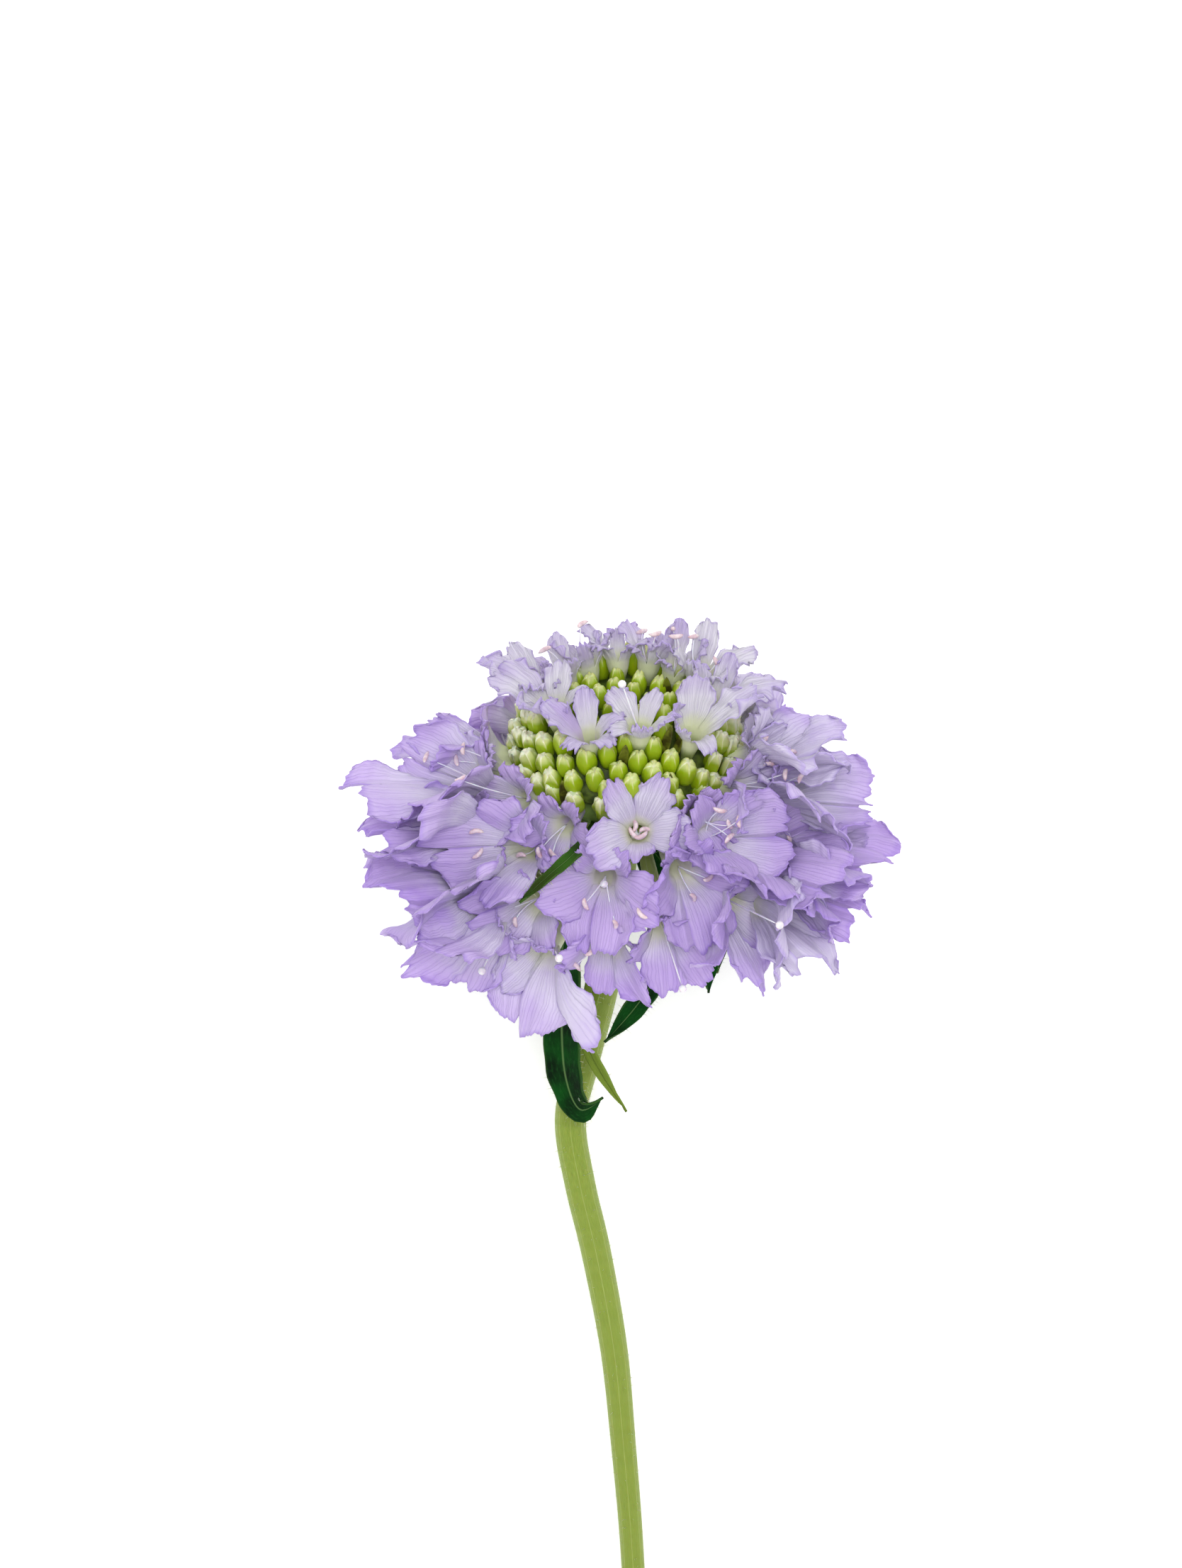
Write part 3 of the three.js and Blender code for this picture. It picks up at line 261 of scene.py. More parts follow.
def turned(v, axis, angle):
    """A direction turned about an axis, by an angle in radians."""
    axis = unit(axis)
    c, s = math.cos(angle), math.sin(angle)
    return v * c + np.cross(axis, v) * s + axis * np.dot(axis, v) * (1 - c)


def through(rows, t):
    """Catmull-Rom values through the rows of a table at an array of t from 0 to 1."""
    rows = np.asarray(rows, float)
    s = clamp01(np.asarray(t, float)) * (len(rows) - 1)
    i = np.minimum(len(rows) - 2, np.floor(s).astype(int))
    u = (s - i)[..., None]
    a, b, c, d = (rows[np.clip(i + k, 0, len(rows) - 1)] for k in (-1, 0, 1, 2))
    return 0.5 * (2 * b + (c - a) * u + (2 * a - 5 * b + 4 * c - d) * u**2 + (3 * b - a - 3 * c + d) * u**3)


# ---------- finishes ----------

TUBE_GREEN, YELLOW_GREEN, CUT_RIM, PITH = "8b9a4e", "8aa03c", "c9d39a", "eef0dd"
VEIN_TURNS, VEIN_WAVER = 95.0, 14.0  # radians of the veins' sine across a petal, and how far they waver


def shade(text):
    """Linear colour of a six-digit screen colour."""
    parts = [int(text[i : i + 2], 16) / 255 for i in (0, 2, 4)]
    return tuple(p / 12.92 if p <= 0.04045 else ((p + 0.055) / 1.055) ** 2.4 for p in parts) + (1.0,)


class Finish:
    """A material whose nodes are added one by one, ending in its Principled shader."""

    def __init__(self, name, **steady):
        self.material = bpy.data.materials.new(name)
        self.material.use_nodes = True
        self.tree = self.material.node_tree
        self.shader = self.tree.nodes["Principled BSDF"]
        for socket, value in steady.items():
            self.shader.inputs[socket.replace("_", " ").title().replace("Ior", "IOR")].default_value = value
        self.place = self.tree.nodes.new("ShaderNodeTexCoord").outputs["Object"]

    def feed(self, socket, value):
        if isinstance(value, bpy.types.NodeSocket):
            self.tree.links.new(value, socket)
        else:
            socket.default_value = value

    def math(self, operation, a, b=0.0):
        node = self.tree.nodes.new("ShaderNodeMath")
        node.operation = operation
        self.feed(node.inputs[0], a)
        self.feed(node.inputs[1], b)
        return node.outputs[0]

    def ramp(self, value, low, high, start=0.0, end=1.0):
        """A smooth step: start where value is low, end where it is high."""
        node = self.tree.nodes.new("ShaderNodeMapRange")
        node.interpolation_type = "SMOOTHSTEP"
        for socket, given in zip(node.inputs, (value, low, high, start, end)):
            self.feed(socket, given)
        return node.outputs[0]

    def stray(self, value, amount):
        """How far a value lies from 0.5, stretched by amount."""
        return self.math("MULTIPLY", self.math("SUBTRACT", value, 0.5), amount)

    def blend(self, factor, a, b):
        node = self.tree.nodes.new("ShaderNodeMix")
        node.data_type = "RGBA"
        self.feed(node.inputs[0], factor)
        self.feed(node.inputs[6], a)
        self.feed(node.inputs[7], b)
        return node.outputs[2]

    def noise(self, scale, detail=3.0, stretch=None, vector=None):
        vector = vector or self.place
        if stretch:
            node = self.tree.nodes.new("ShaderNodeMapping")
            node.inputs["Scale"].default_value = stretch
            self.feed(node.inputs["Vector"], vector)
            vector = node.outputs[0]
        node = self.tree.nodes.new("ShaderNodeTexNoise")
        self.feed(node.inputs["Vector"], vector)
        node.inputs["Scale"].default_value = scale
        node.inputs["Detail"].default_value = detail
        return node.outputs["Fac"]

    def map(self, name):
        """The two coordinates of a UV map."""
        node = self.tree.nodes.new("ShaderNodeUVMap")
        node.uv_map = name
        parts = self.tree.nodes.new("ShaderNodeSeparateXYZ")
        self.feed(parts.inputs[0], node.outputs[0])
        return parts.outputs[0], parts.outputs[1], node.outputs[0]

    def bump(self, height, distance):
        node = self.tree.nodes.new("ShaderNodeBump")
        node.inputs["Distance"].default_value = distance * MM
        self.feed(node.inputs["Height"], height)
        self.feed(self.shader.inputs["Normal"], node.outputs[0])

    def colour(self, value):
        self.feed(self.shader.inputs["Base Color"], value)

    def rough(self, value):
        self.feed(self.shader.inputs["Roughness"], value)


def petal_finish(name, body, pale, throat, fold, edge):
    """Petal: green foot, creamy throat, then pale to its body colour, with veins and a darker margin."""
    f = Finish(
        name, subsurface_weight=0.3, subsurface_scale=0.8 * MM, specular_ior_level=0.25, sheen_weight=0.04,
    )
    f.shader.inputs["Subsurface Radius"].default_value = (0.9, 0.8, 1.0)
    u, v, uv = f.map("petal")
    tone, hue, _ = f.map("tone")
    off = f.math("ABSOLUTE", f.math("SUBTRACT", u, 0.5))
    patch = f.noise(160.0, 3.0)
    grain = f.noise(1500.0, 2.0)
    crease = f.noise(380.0, 3.0)
    # Colours along it, with uneven borders.
    reach = f.math("ADD", v, f.stray(patch, 0.25))
    colour = f.blend(f.ramp(reach, 0.22, 0.44), shade(TUBE_GREEN), shade(throat))
    colour = f.blend(f.ramp(reach, 0.47, 0.66), colour, shade(pale))
    depth = f.math("ADD", f.ramp(reach, 0.55, 0.95), f.stray(tone, 1.3))
    colour = f.blend(f.ramp(depth, 0.1, 1.0), colour, shade(body))
    folded = f.math("MULTIPLY", f.ramp(patch, 0.52, 0.75), f.math("MULTIPLY", hue, 0.7))
    colour = f.blend(folded, colour, shade(fold))
    # Veins that waver, a pale midrib and a dark margin.
    waver = f.math("MULTIPLY", f.noise(9.0, 2.0, (1.0, 0.35, 1.0), uv), VEIN_WAVER)
    lines = f.math("SINE", f.math("ADD", f.math("MULTIPLY", u, VEIN_TURNS), waver))
    vein = f.math("MULTIPLY", f.ramp(lines, 0.55, 1.0), f.ramp(v, 0.5, 0.62))
    colour = f.blend(f.math("MULTIPLY", vein, 0.12), colour, shade(edge))
    midrib = f.math("MULTIPLY", f.ramp(off, 0.03, 0.0), f.ramp(v, 1.0, 0.6))
    colour = f.blend(f.math("MULTIPLY", midrib, 0.25), colour, shade(pale))
    margin = f.math("MAXIMUM", f.ramp(off, 0.44, 0.5), f.ramp(v, 0.96, 1.0))
    margin = f.math("MULTIPLY", margin, f.ramp(v, 0.6, 0.75))
    colour = f.blend(f.math("MULTIPLY", margin, 0.45), colour, shade(edge))
    f.colour(colour)
    f.rough(f.ramp(grain, 0.3, 0.7, 0.48, 0.62))
    relief = f.math("ADD", f.math("MULTIPLY", vein, -0.3), f.math("MULTIPLY", grain, 0.25))
    f.bump(f.math("ADD", relief, f.math("MULTIPLY", crease, 1.5)), 0.12)
    return f.material


def bud_finish():
    """Closed bud: bright yellow-green body on a dark green foot, pale edges of the lobes round its top."""
    f = Finish(
        "bud_skin", subsurface_weight=0.25, subsurface_scale=0.6 * MM, coat_weight=0.08, coat_roughness=0.4,
    )
    foot, body, dull, rim, tip = map(shade, ("1c4410", "a3bd0c", "86a51c", "cfd88c", "eef0d4"))
    part, rise, _ = f.map("bud")
    tone, pale, _ = f.map("tone")
    grain = f.noise(1800.0, 3.0)
    patch = f.noise(500.0, 2.0)
    reach = f.math("ADD", rise, f.stray(patch, 0.14))
    reach = f.math("ADD", reach, f.math("MULTIPLY", f.ramp(part, 0.55, 0.75), 0.12))
    reach = f.math("ADD", reach, f.math("MULTIPLY", pale, 0.24))
    colour = f.blend(f.ramp(rise, 0.12, 0.34), foot, body)
    colour = f.blend(f.math("MULTIPLY", f.math("SUBTRACT", 1.0, tone), 0.35), colour, dull)
    colour = f.blend(f.ramp(reach, 0.74, 0.92), colour, rim)
    colour = f.blend(f.ramp(reach, 0.92, 1.06), colour, tip)
    f.colour(colour)
    f.rough(f.ramp(grain, 0.3, 0.7, 0.38, 0.55))
    f.bump(grain, 0.04)
    return f.material


def leaf_finish():
    """Bract: very dark green with a paler midrib and margins, yellower where its tone says so."""
    f = Finish("bract_blade", specular_ior_level=0.08)
    dark, green, vein, midrib, margin = map(shade, ("021d05", "0a4a12", "1f5a22", "6b8f55", "4f7838"))
    u, v, uv = f.map("blade")
    _, yellow, _ = f.map("tone")
    off = f.math("ABSOLUTE", f.math("SUBTRACT", u, 0.5))
    patch = f.noise(260.0, 4.0)
    veins = f.noise(14.0, 3.0, (1.0, 3.0, 1.0), uv)
    colour = f.blend(f.ramp(patch, 0.3, 0.7), dark, green)
    colour = f.blend(f.ramp(veins, 0.5, 0.75, 0.0, 0.4), colour, vein)
    colour = f.blend(f.ramp(off, 0.05, 0.0, 0.0, 0.7), colour, midrib)
    colour = f.blend(f.ramp(off, 0.45, 0.5, 0.0, 0.4), colour, margin)
    colour = f.blend(f.math("MULTIPLY", yellow, 0.75), colour, shade(YELLOW_GREEN))
    f.colour(colour)
    f.rough(f.ramp(patch, 0.3, 0.7, 0.5, 0.68))
    f.bump(f.math("ADD", veins, f.ramp(off, 0.08, 0.0, 0.0, -1.0)), 0.12)
    return f.material


def stem_finish():
    """Stem: light yellow-green, streaked lengthwise, darker towards its cut end, pale pith in the cut."""
    f = Finish(
        "stem_skin", subsurface_weight=0.2, subsurface_scale=0.8 * MM, coat_weight=0.1, coat_roughness=0.35,
    )
    deep, light, mottle, low, rib = map(shade, ("7b9418", "9aae3c", "8aa02a", "8c9c36", "d4dd8a"))
    ribs, v, uv = f.map("stalk")
    streaks = f.noise(3.0, 4.0, (9.0, 30.0, 1.0), uv)
    patch = f.noise(60.0, 3.0, (1.0, 0.15, 1.0))
    grain = f.noise(1600.0, 3.0)
    colour = f.blend(f.ramp(streaks, 0.3, 0.7), deep, light)
    colour = f.blend(f.ramp(patch, 0.35, 0.7, 0.0, 0.45), colour, mottle)
    colour = f.blend(f.ramp(v, 0.3, 1.0, 0.0, 0.3), colour, low)
    colour = f.blend(f.ramp(ribs, 0.9, 1.0, 0.0, 0.35), colour, rib)
    colour = f.blend(f.ramp(v, 1.0, 1.02), colour, shade(CUT_RIM))
    colour = f.blend(f.ramp(v, 1.035, 1.05), colour, shade(PITH))
    f.colour(colour)
    f.rough(f.ramp(grain, 0.3, 0.7, 0.4, 0.55))
    f.bump(f.math("ADD", streaks, f.math("MULTIPLY", grain, 0.3)), 0.06)
    return f.material


def mottled(name, dark, light, scale, roughness=(0.5, 0.65), depth=0.04, **steady):
    """A plain surface in two close tones, with a fine grain."""
    f = Finish(name, **steady)
    patch = f.noise(scale, 4.0)
    f.colour(f.blend(f.ramp(patch, 0.35, 0.65), shade(dark), shade(light)))
    f.rough(f.ramp(patch, 0.3, 0.7, *roughness))
    f.bump(f.noise(scale * 4, 3.0), depth)
    return f.material


OUTER_PETAL = petal_finish(
    "outer_petal", body="c0a9e1", pale="d7cfe8", throat="dfe4be", fold="b698e6", edge="9474d2",
)
INNER_PETAL = petal_finish(
    "inner_petal", body="c6badd", pale="dad6e2", throat="d6dbb4", fold="baa1dd", edge="9276cc",
)
BUD_SKIN = bud_finish()
LEAF = leaf_finish()
STEM_SKIN = stem_finish()
CORE = mottled("dome_core", "2c3a10", "5a6c1e", 900.0)
SCALE = mottled("scale", "3d3a08", "7d8420", 700.0)
RECEPTACLE = mottled("receptacle_skin", "4d7030", "7d9a46", 300.0)
FILAMENT = mottled("filament", "e9e4f2", "fbf9ff", 700.0, subsurface_weight=0.3, subsurface_scale=0.3 * MM)
ANTHER = mottled("anther", "d8bcc4", "f0dfe2", 1500.0, subsurface_weight=0.2, subsurface_scale=0.3 * MM)
STIGMA = mottled("stigma", "e6e0ea", "ffffff", 1500.0, subsurface_weight=0.3, subsurface_scale=0.3 * MM)
HAIR = mottled("hair", "c9d3a8", "eef2dc", 1200.0, subsurface_weight=0.3, subsurface_scale=0.1 * MM)

# ---------- mesh tools ----------

MERGE, FINE_MERGE = 1e-6, 1e-7  # points closer than this (metres) become one; the finer one is for thin rods
PLAIN = (0.5, 0.0)  # the tone of what is laid in one tone


class Piece:
    """One mesh under construction. Warped grids are laid into it one after another."""

    def __init__(self, name, finish):
        self.name = name
        self.finish = finish
        self.form = bmesh.new()

    def lay(self, blank, points, tone=None, petal=None):
        """A copy of a blank mesh with its vertices moved to points (mm) and its maps set."""
        copy = blank.copy()
        copy.vertices.foreach_set("co", np.ascontiguousarray(points * MM, np.float32).ravel())
        if tone is not None:
            copy.uv_layers["tone"].data.foreach_set("uv", np.tile(tone, len(copy.loops)).astype(np.float32))
        if petal is not None:
            copy.uv_layers["petal"].data.foreach_set("uv", petal.astype(np.float32).ravel())
        self.form.from_mesh(copy)
        bpy.data.meshes.remove(copy)

    def finish_off(self, body, nodes, thickness=0.0, merge=MERGE):
        """The finished object, with a wall where a thickness (mm) is given."""
        bmesh.ops.remove_doubles(self.form, verts=self.form.verts, dist=merge)
        if not thickness:
            bmesh.ops.recalc_face_normals(self.form, faces=self.form.faces)
        mesh = bpy.data.meshes.new(self.name)
        self.form.to_mesh(mesh)
        self.form.free()
        mesh.materials.append(self.finish)
        mesh.polygons.foreach_set("use_smooth", np.ones(len(mesh.polygons), bool))
        piece = bpy.data.objects.new(self.name, mesh)
        bpy.context.scene.collection.objects.link(piece)
        if thickness:
            wall = piece.modifiers.new("wall", "SOLIDIFY")
            wall.thickness = thickness * MM
            wall.offset = 0.0
        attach(piece, body)
        if nodes:
            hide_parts(*nodes)
        return piece


def spots_of(mesh):
    """The places of a mesh's vertices."""
    spots = np.zeros(len(mesh.vertices) * 3, np.float32)
    mesh.vertices.foreach_get("co", spots)
    return spots.reshape(-1, 3).astype(float)


def corners_of(mesh):
    """The vertex at each corner of a mesh's faces."""
    corners = np.zeros(len(mesh.loops), int)
    mesh.loops.foreach_get("vertex_index", corners)
    return corners


def blank_grid(columns, rows, names=("tone",)):
    """A flat grid with UV maps, the first of them set, and each vertex's column and row from 0 to 1."""
    form = bmesh.new()
    bmesh.ops.create_grid(form, x_segments=columns, y_segments=rows, size=1.0)
    maps = [form.loops.layers.uv.new(name) for name in names]
    for face in form.faces:
        for loop in face.loops:
            loop[maps[0]].uv = (loop.vert.co.x * 0.5 + 0.5, loop.vert.co.y * 0.5 + 0.5)
    mesh = bpy.data.meshes.new("blank")
    form.to_mesh(mesh)
    form.free()
    spots = spots_of(mesh) * 0.5 + 0.5
    return mesh, spots[:, 0], spots[:, 1]


def rod(piece, path, radii, sides):
    """A round rod along a path (mm). Where a radius is 0, the rod closes."""
    path, radii = np.asarray(path, float), np.asarray(radii, float)
    rows = len(path) - 1
    blank, x, y = blank_grid(sides, rows)
    row = np.rint(y * rows).astype(int)
    ahead = unit(np.gradient(path, axis=0))
    guess = np.array([0.0, 0.0, 1.0]) if abs(ahead[0][2]) < 0.9 else np.array([1.0, 0.0, 0.0])
    side = unit(np.cross(guess, ahead))
    up = np.cross(ahead, side)
    angle = (2 * np.pi * x)[:, None]
    points = path[row] + radii[row][:, None] * (side[row] * np.sin(angle) - up[row] * np.cos(angle))
    piece.lay(blank, points, PLAIN)
    bpy.data.meshes.remove(blank)


# ---------- florets ----------

# The widest lobes are split in three lengthwise and the next ones in two: least width, places and how far
# they stray, from -1 to 1 across.
SPLIT_IN_THREE = {"above": 12, "places": (-0.32, 0.34), "stray": 0.12}
SPLIT_IN_TWO = {"above": 8.5, "stray": 0.35}


def splits_of(k, i, width):
    """Where a lobe is split lengthwise, from -1 to 1 across it: its parts overlap."""
    stray = (wobble(k, 150 + i), wobble(k, 160 + i))
    if width > SPLIT_IN_THREE["above"]:
        return [place + SPLIT_IN_THREE["stray"] * s for place, s in zip(SPLIT_IN_THREE["places"], stray)]
    return [SPLIT_IN_TWO["stray"] * stray[0]] if width > SPLIT_IN_TWO["above"] else []


class Floret:
    """A floret from its root to its mouth, in the head's frame: out is its outer side, side its right."""

    def __init__(self, k, root, mouth, azimuth, rise, roll, kind, lobes):
        self.k, self.root, self.mouth, self.kind = k, root, mouth, kind
        self.throat = kind["throat"]
        self.axis = around(azimuth, math.cos(rise * DEG), math.sin(rise * DEG))
        level = around(azimuth, math.sin(rise * DEG), -math.cos(rise * DEG))
        self.out = turned(level, self.axis, roll * DEG)
        self.side = np.cross(self.axis, self.out)
        order = sorted((self.lobe(i, *row) for i, row in enumerate(lobes)), key=lambda lobe: lobe["turn"])
        for i, lobe in enumerate(order):
            before = order[i - 1]["turn"] - (360 if i == 0 else 0)
            after = order[(i + 1) % len(order)]["turn"] + (360 if i == len(order) - 1 else 0)
            lobe["low"], lobe["high"] = (lobe["turn"] - before) / 2, (after - lobe["turn"]) / 2
        self.lobes = order

    def lobe(self, i, turn, length, width, open_):
        """A lobe's measures, with how it differs from its neighbours."""
        k = self.k
        grown = (length - RUFFLE["from"]) / (RUFFLE["full"] - RUFFLE["from"])
        return {
            "i": i, "turn": turn, "length": length, "width": width, "open": open_,
            "splits": splits_of(k, i, width),
            "cup": CUP * wobble(k, 30 + i),
            "twist": TWIST * wobble(k, 140 + i),
            "phase": 3 * wobble(k, 40 + i),
            "curl": self.kind["curl"] * (wobble(k, 190 + i) - 0.25),
            "ruffle": RUFFLE["height"] * min(1.0, max(0.0, grown)),
            "size": min(1.0, length / RUFFLE["full"]),
            "phases": [3.1 * wobble(k, 200 + 10 * i + n) for n in range(8)],
        }

    def away(self, angle):
        return self.out * np.cos(angle)[..., None] + self.side * np.sin(angle)[..., None]

    def length_at(self, lobe, u, v):
        """How far along its blade a point lies: round corners, scallops, a notch, clefts and fine teeth."""
        k, size, width, phases = self.k, lobe["size"], lobe["width"], lobe["phases"]
        scallop = sum(deep * np.sin(n * u + phases[q]) for q, (deep, n) in enumerate(SCALLOPS))
        notch = (u - NOTCH["place"] * wobble(k, 155 + lobe["i"])) / NOTCH["width"]
        scallop = scallop - NOTCH["depth"] * np.exp(-(notch**2))
        scallop = scallop * (0.4 + 0.6 * size) - 0.04 * size
        for q, place in enumerate(lobe["splits"]):
            deep = CLEFT["depth"] + CLEFT["vary"] * wobble(k, 170 + q)
            scallop = scallop - deep * np.exp(-(((u - place) / CLEFT["width"]) ** 2))
            scallop = scallop + CLEFT["step"] * wobble(k, 180 + q) * np.tanh((u - place) / CLEFT["edge"])
        rounding = SPLIT_ROUND if lobe["splits"] else ROUND
        teeth = np.sin(TEETH["fine"] * width * u + phases[2])
        teeth = teeth + TEETH["share"] * np.sin(TEETH["coarse"] * width * u + phases[1])
        length = lobe["length"] * (v - rounding * np.abs(u) ** 2.4 * v**3 + scallop * v**4)
        return length + TEETH["height"] * size * teeth * v**12

    def width_at(self, lobe, u, v, half):
        """How far aside of its middle a point lies, past the throat's own width."""
        width, phases = lobe["width"], lobe["phases"]
        belly = np.sin(np.pi / 2 * np.minimum(1, v / WIDEST))
        narrowing = 1 - NARROWING * clamp01((v - WIDEST) / (1 - WIDEST)) ** 2
        (slow, long_waves), (quick, short_waves) = SIDE_WAVES
        frill = slow * np.sin(long_waves * v + phases[3]) + quick * np.sin(short_waves * v + phases[4] + u)
        ripple = np.sin(SIDE_RIPPLE["waves"] * lobe["length"] * v + phases[0] * u)
        frill = 1 + smooth(0.25, 0.6, v) * (frill + SIDE_RIPPLE["height"] / width * ripple)
        return u * belly * narrowing * frill * np.maximum(0, width / 2 - self.throat * np.sin(half))

    def lift_at(self, lobe, u, v):
        """How far a point lies off its blade's plain bend."""
        phases, width = lobe["phases"], lobe["width"]
        sides = np.sin(FLUTE["waves"] * v + phases[7] + 2 * np.sign(u))
        flutes = FLUTE["height"] * np.abs(u) ** 3 * sides * smooth(0.2, 0.6, v)
        groove = GROOVE["depth"] * np.exp(-((u / GROOVE["width"]) ** 2)) * smooth(0.05, 0.35, v) * (1 - v)
        pleats = PLEAT["height"] * np.sin(PLEAT["waves"] * u + phases[1])
        pleats = pleats * smooth(0.1, 0.5, v) * (1 - 0.5 * v)
        crumple = sum(h * np.sin(n * u + phases[5 + q]) * v**grow for q, (h, n, grow) in enumerate(RIPPLES))
        crumple = crumple + flutes - groove + pleats
        wave = lobe["ruffle"] * np.sin(RUFFLE["waves"] * u + lobe["phase"]) * v * v
        wave = wave + lobe["size"] * self.kind["crumple"] * crumple
        wave = wave + 0.5 * min(TWIST_WIDTH, width) * lobe["twist"] * u * v + lobe["curl"] * v**3
        for q, place in enumerate(lobe["splits"]):
            step = OVERLAP["step"] * (-1) ** q * np.tanh((u - place) / OVERLAP["edge"])
            wave = wave + step * smooth(0.12, 0.6, v)
        return width * lobe["cup"] * u * u * np.sqrt(v) + wave

    def lobe_points(self, lobe, u, v):
        """Points of a lobe's blade: u across (-1 to 1), v along (0 at the throat, 1 at the tip)."""
        half = np.where(u < 0, lobe["low"], lobe["high"]) * DEG
        length = self.length_at(lobe, u, v)
        lift = self.lift_at(lobe, u, v)
        start = self.kind["lean"] * DEG
        bend = (lobe["open"] * DEG - start) / lobe["length"]
        lean = start + bend * length
        forward = (np.sin(lean) - math.sin(start)) / bend + lift * np.sin(lean)
        outward = (math.cos(start) - np.cos(lean)) / bend - lift * np.cos(lean)
        outward = outward + self.throat * np.cos(u * half)
        sideways = self.width_at(lobe, u, v, half) + self.throat * np.sin(u * half)
        middle = lobe["turn"] * DEG
        away = self.out * math.cos(middle) + self.side * math.sin(middle)
        across = np.cross(self.axis, away)
        p = self.mouth + self.axis * forward[:, None] + away * outward[:, None] + across * sideways[:, None]
        return rested(to_part(p) + HANG * (DROOP * length * length)[:, None], PETAL_REST)

    def tube_points(self, lobe, u, t):
        """Points of the tube under a lobe: t from 0 at the foot to 1 at the rim."""
        half = np.where(u < 0, lobe["low"], lobe["high"])
        angle = (lobe["turn"] + u * half) * DEG
        low, high = TUBE_BENDS
        span = np.linalg.norm(self.mouth - self.root)
        bends = [self.root, mix(self.root, self.mouth, low), self.mouth - self.axis * high * span, self.mouth]
        w = [(1 - t) ** 3, 3 * t * (1 - t) ** 2, 3 * t * t * (1 - t), t**3]
        centre = sum(c * b[:, None] for c, b in zip(bends, w))
        radius = mix(self.kind["foot"], self.throat, smooth(0.25, 1.0, t) * 0.75 + 0.25 * t)
        return rested(to_part(centre + self.away(angle) * radius[:, None]), PETAL_REST)


TUBE_ROWS = 6


def lobe_blank(columns, rows):
    """A grid for a lobe and its share of the tube, with u across, v from -1 at the foot to 1 at the tip."""
    share = TUBE_ROWS / (TUBE_ROWS + rows)
    mesh, x, y = blank_grid(columns, TUBE_ROWS + rows, ("petal", "tone"))
    v = np.where(y < share + 1e-6, -1 + y / share, (y - share) / (1 - share))
    return mesh, 2 * x - 1, np.where(np.abs(v) < 1e-5, 0.0, v), corners_of(mesh)


def across_part(u, splits):
    """How far across its own part of a split lobe each point lies, from 0 to 1."""
    edges = np.array([-1, *splits, 1])
    part = np.searchsorted(splits, u)
    return (u - edges[part]) / (edges[part + 1] - edges[part])


# Grids by the length from which a lobe takes them.
BLANKS = [(11.5, lobe_blank(48, 26)), (7.6, lobe_blank(32, 18)), (0, lobe_blank(20, 12))]
# Florets that are paler than the others, by their seed, and by how much.
PALER = {
    0: -0.1, 1: 0.25, 3: 0.35, 5: -0.1, 6: 0.15, 11: 0.3, 13: 0.3, 18: 0.6,
    60: 0.65, 65: 0.3, 66: 0.5, 67: 0.5, 300: 0.2, 302: 0.3, 305: 0.4, 306: 0.4,
}
TONES = {"floret": 0.35, "lobe": 0.15}  # how far one floret, and one lobe, differs from the next


def lay_floret(piece, floret):
    """Every lobe of a floret, each with its share of the tube."""
    k = floret.k
    for lobe in floret.lobes:
        blank, u, v, corners = next(grid for least, grid in BLANKS if lobe["length"] > least)
        points = np.empty((len(u), 3))
        low = v <= 0
        points[low] = floret.tube_points(lobe, u[low], v[low] + 1)
        points[~low] = floret.lobe_points(lobe, u[~low], v[~low])
        tone = 0.5 + TONES["floret"] * wobble(k, 90) + TONES["lobe"] * wobble(k, 95 + lobe["i"])
        tone -= PALER.get(k, 0)
        hue = 0.5 + 0.5 * wobble(k, 120 + lobe["i"])
        petal = np.stack([across_part(u, lobe["splits"]), 0.5 + 0.5 * v], -1)
        piece.lay(blank, points, (tone, hue), petal[corners])


def outer_floret(row, k, kind):
    """The floret of one row of OUTER or SMALL."""
    azimuth, r, z, rise, roll, first, second, third, upper = row
    lobes = [(turn, length, length * ratio, open_) for turn, length, ratio, open_ in (first, second, third)]
    lobes += [(turn, upper, UPPER["ratio"] * upper, UPPER["open"]) for turn in UPPER["turns"]]
    root_height = max(TUBE_ROOT["lowest"], TUBE_ROOT["share"] * z - TUBE_ROOT["below"])
    root = around(azimuth, kind["root"], root_height)
    return Floret(k, root, around(azimuth, r, z), azimuth, rise, roll, kind, lobes)


florets = [outer_floret(row, SEEDS["outer"] + k, BIG_FLORET) for k, row in enumerate(OUTER)]
florets += [outer_floret(row, SEEDS["small"] + k, SMALL_FLORET) for k, row in enumerate(SMALL)]

# Pieces of the outer petals, by the azimuths of their florets.
PETAL_SIDES = {
    "petals_left": (-180, -110),
    "petals_front": (-110, -40),
    "petals_right": (-40, 30),
    "petals_back": (30, 180.1),
}
for name, (start, end) in PETAL_SIDES.items():
    piece = Piece(name, OUTER_PETAL)
    for floret in florets:
        azimuth = math.degrees(math.atan2(floret.mouth[1], floret.mouth[0]))
        if start <= azimuth < end:
            lay_floret(piece, floret)
    piece.finish_off("root", ["outer_florets"], PETAL_THICKNESS)

# ---------- dome: core, buds and inner florets ----------


def site_polar():
    """Polar angles of the sites, so that each has an equal share of the dome's surface."""
    steps = 400
    flat = DOME_HEIGHT / DOME_RADIUS + EDGE_SHARE
    p = (np.arange(steps) + 0.5) * math.pi / 2 / steps
    area = np.concatenate([[0], np.cumsum(np.sin(p) * np.hypot(np.cos(p), flat * np.sin(p)))])
    share = (np.arange(SITES) + 0.5) / SITES * area[-1]
    return np.interp(share, area, np.arange(steps + 1)) * math.pi / 2 / steps


POLAR = site_polar()


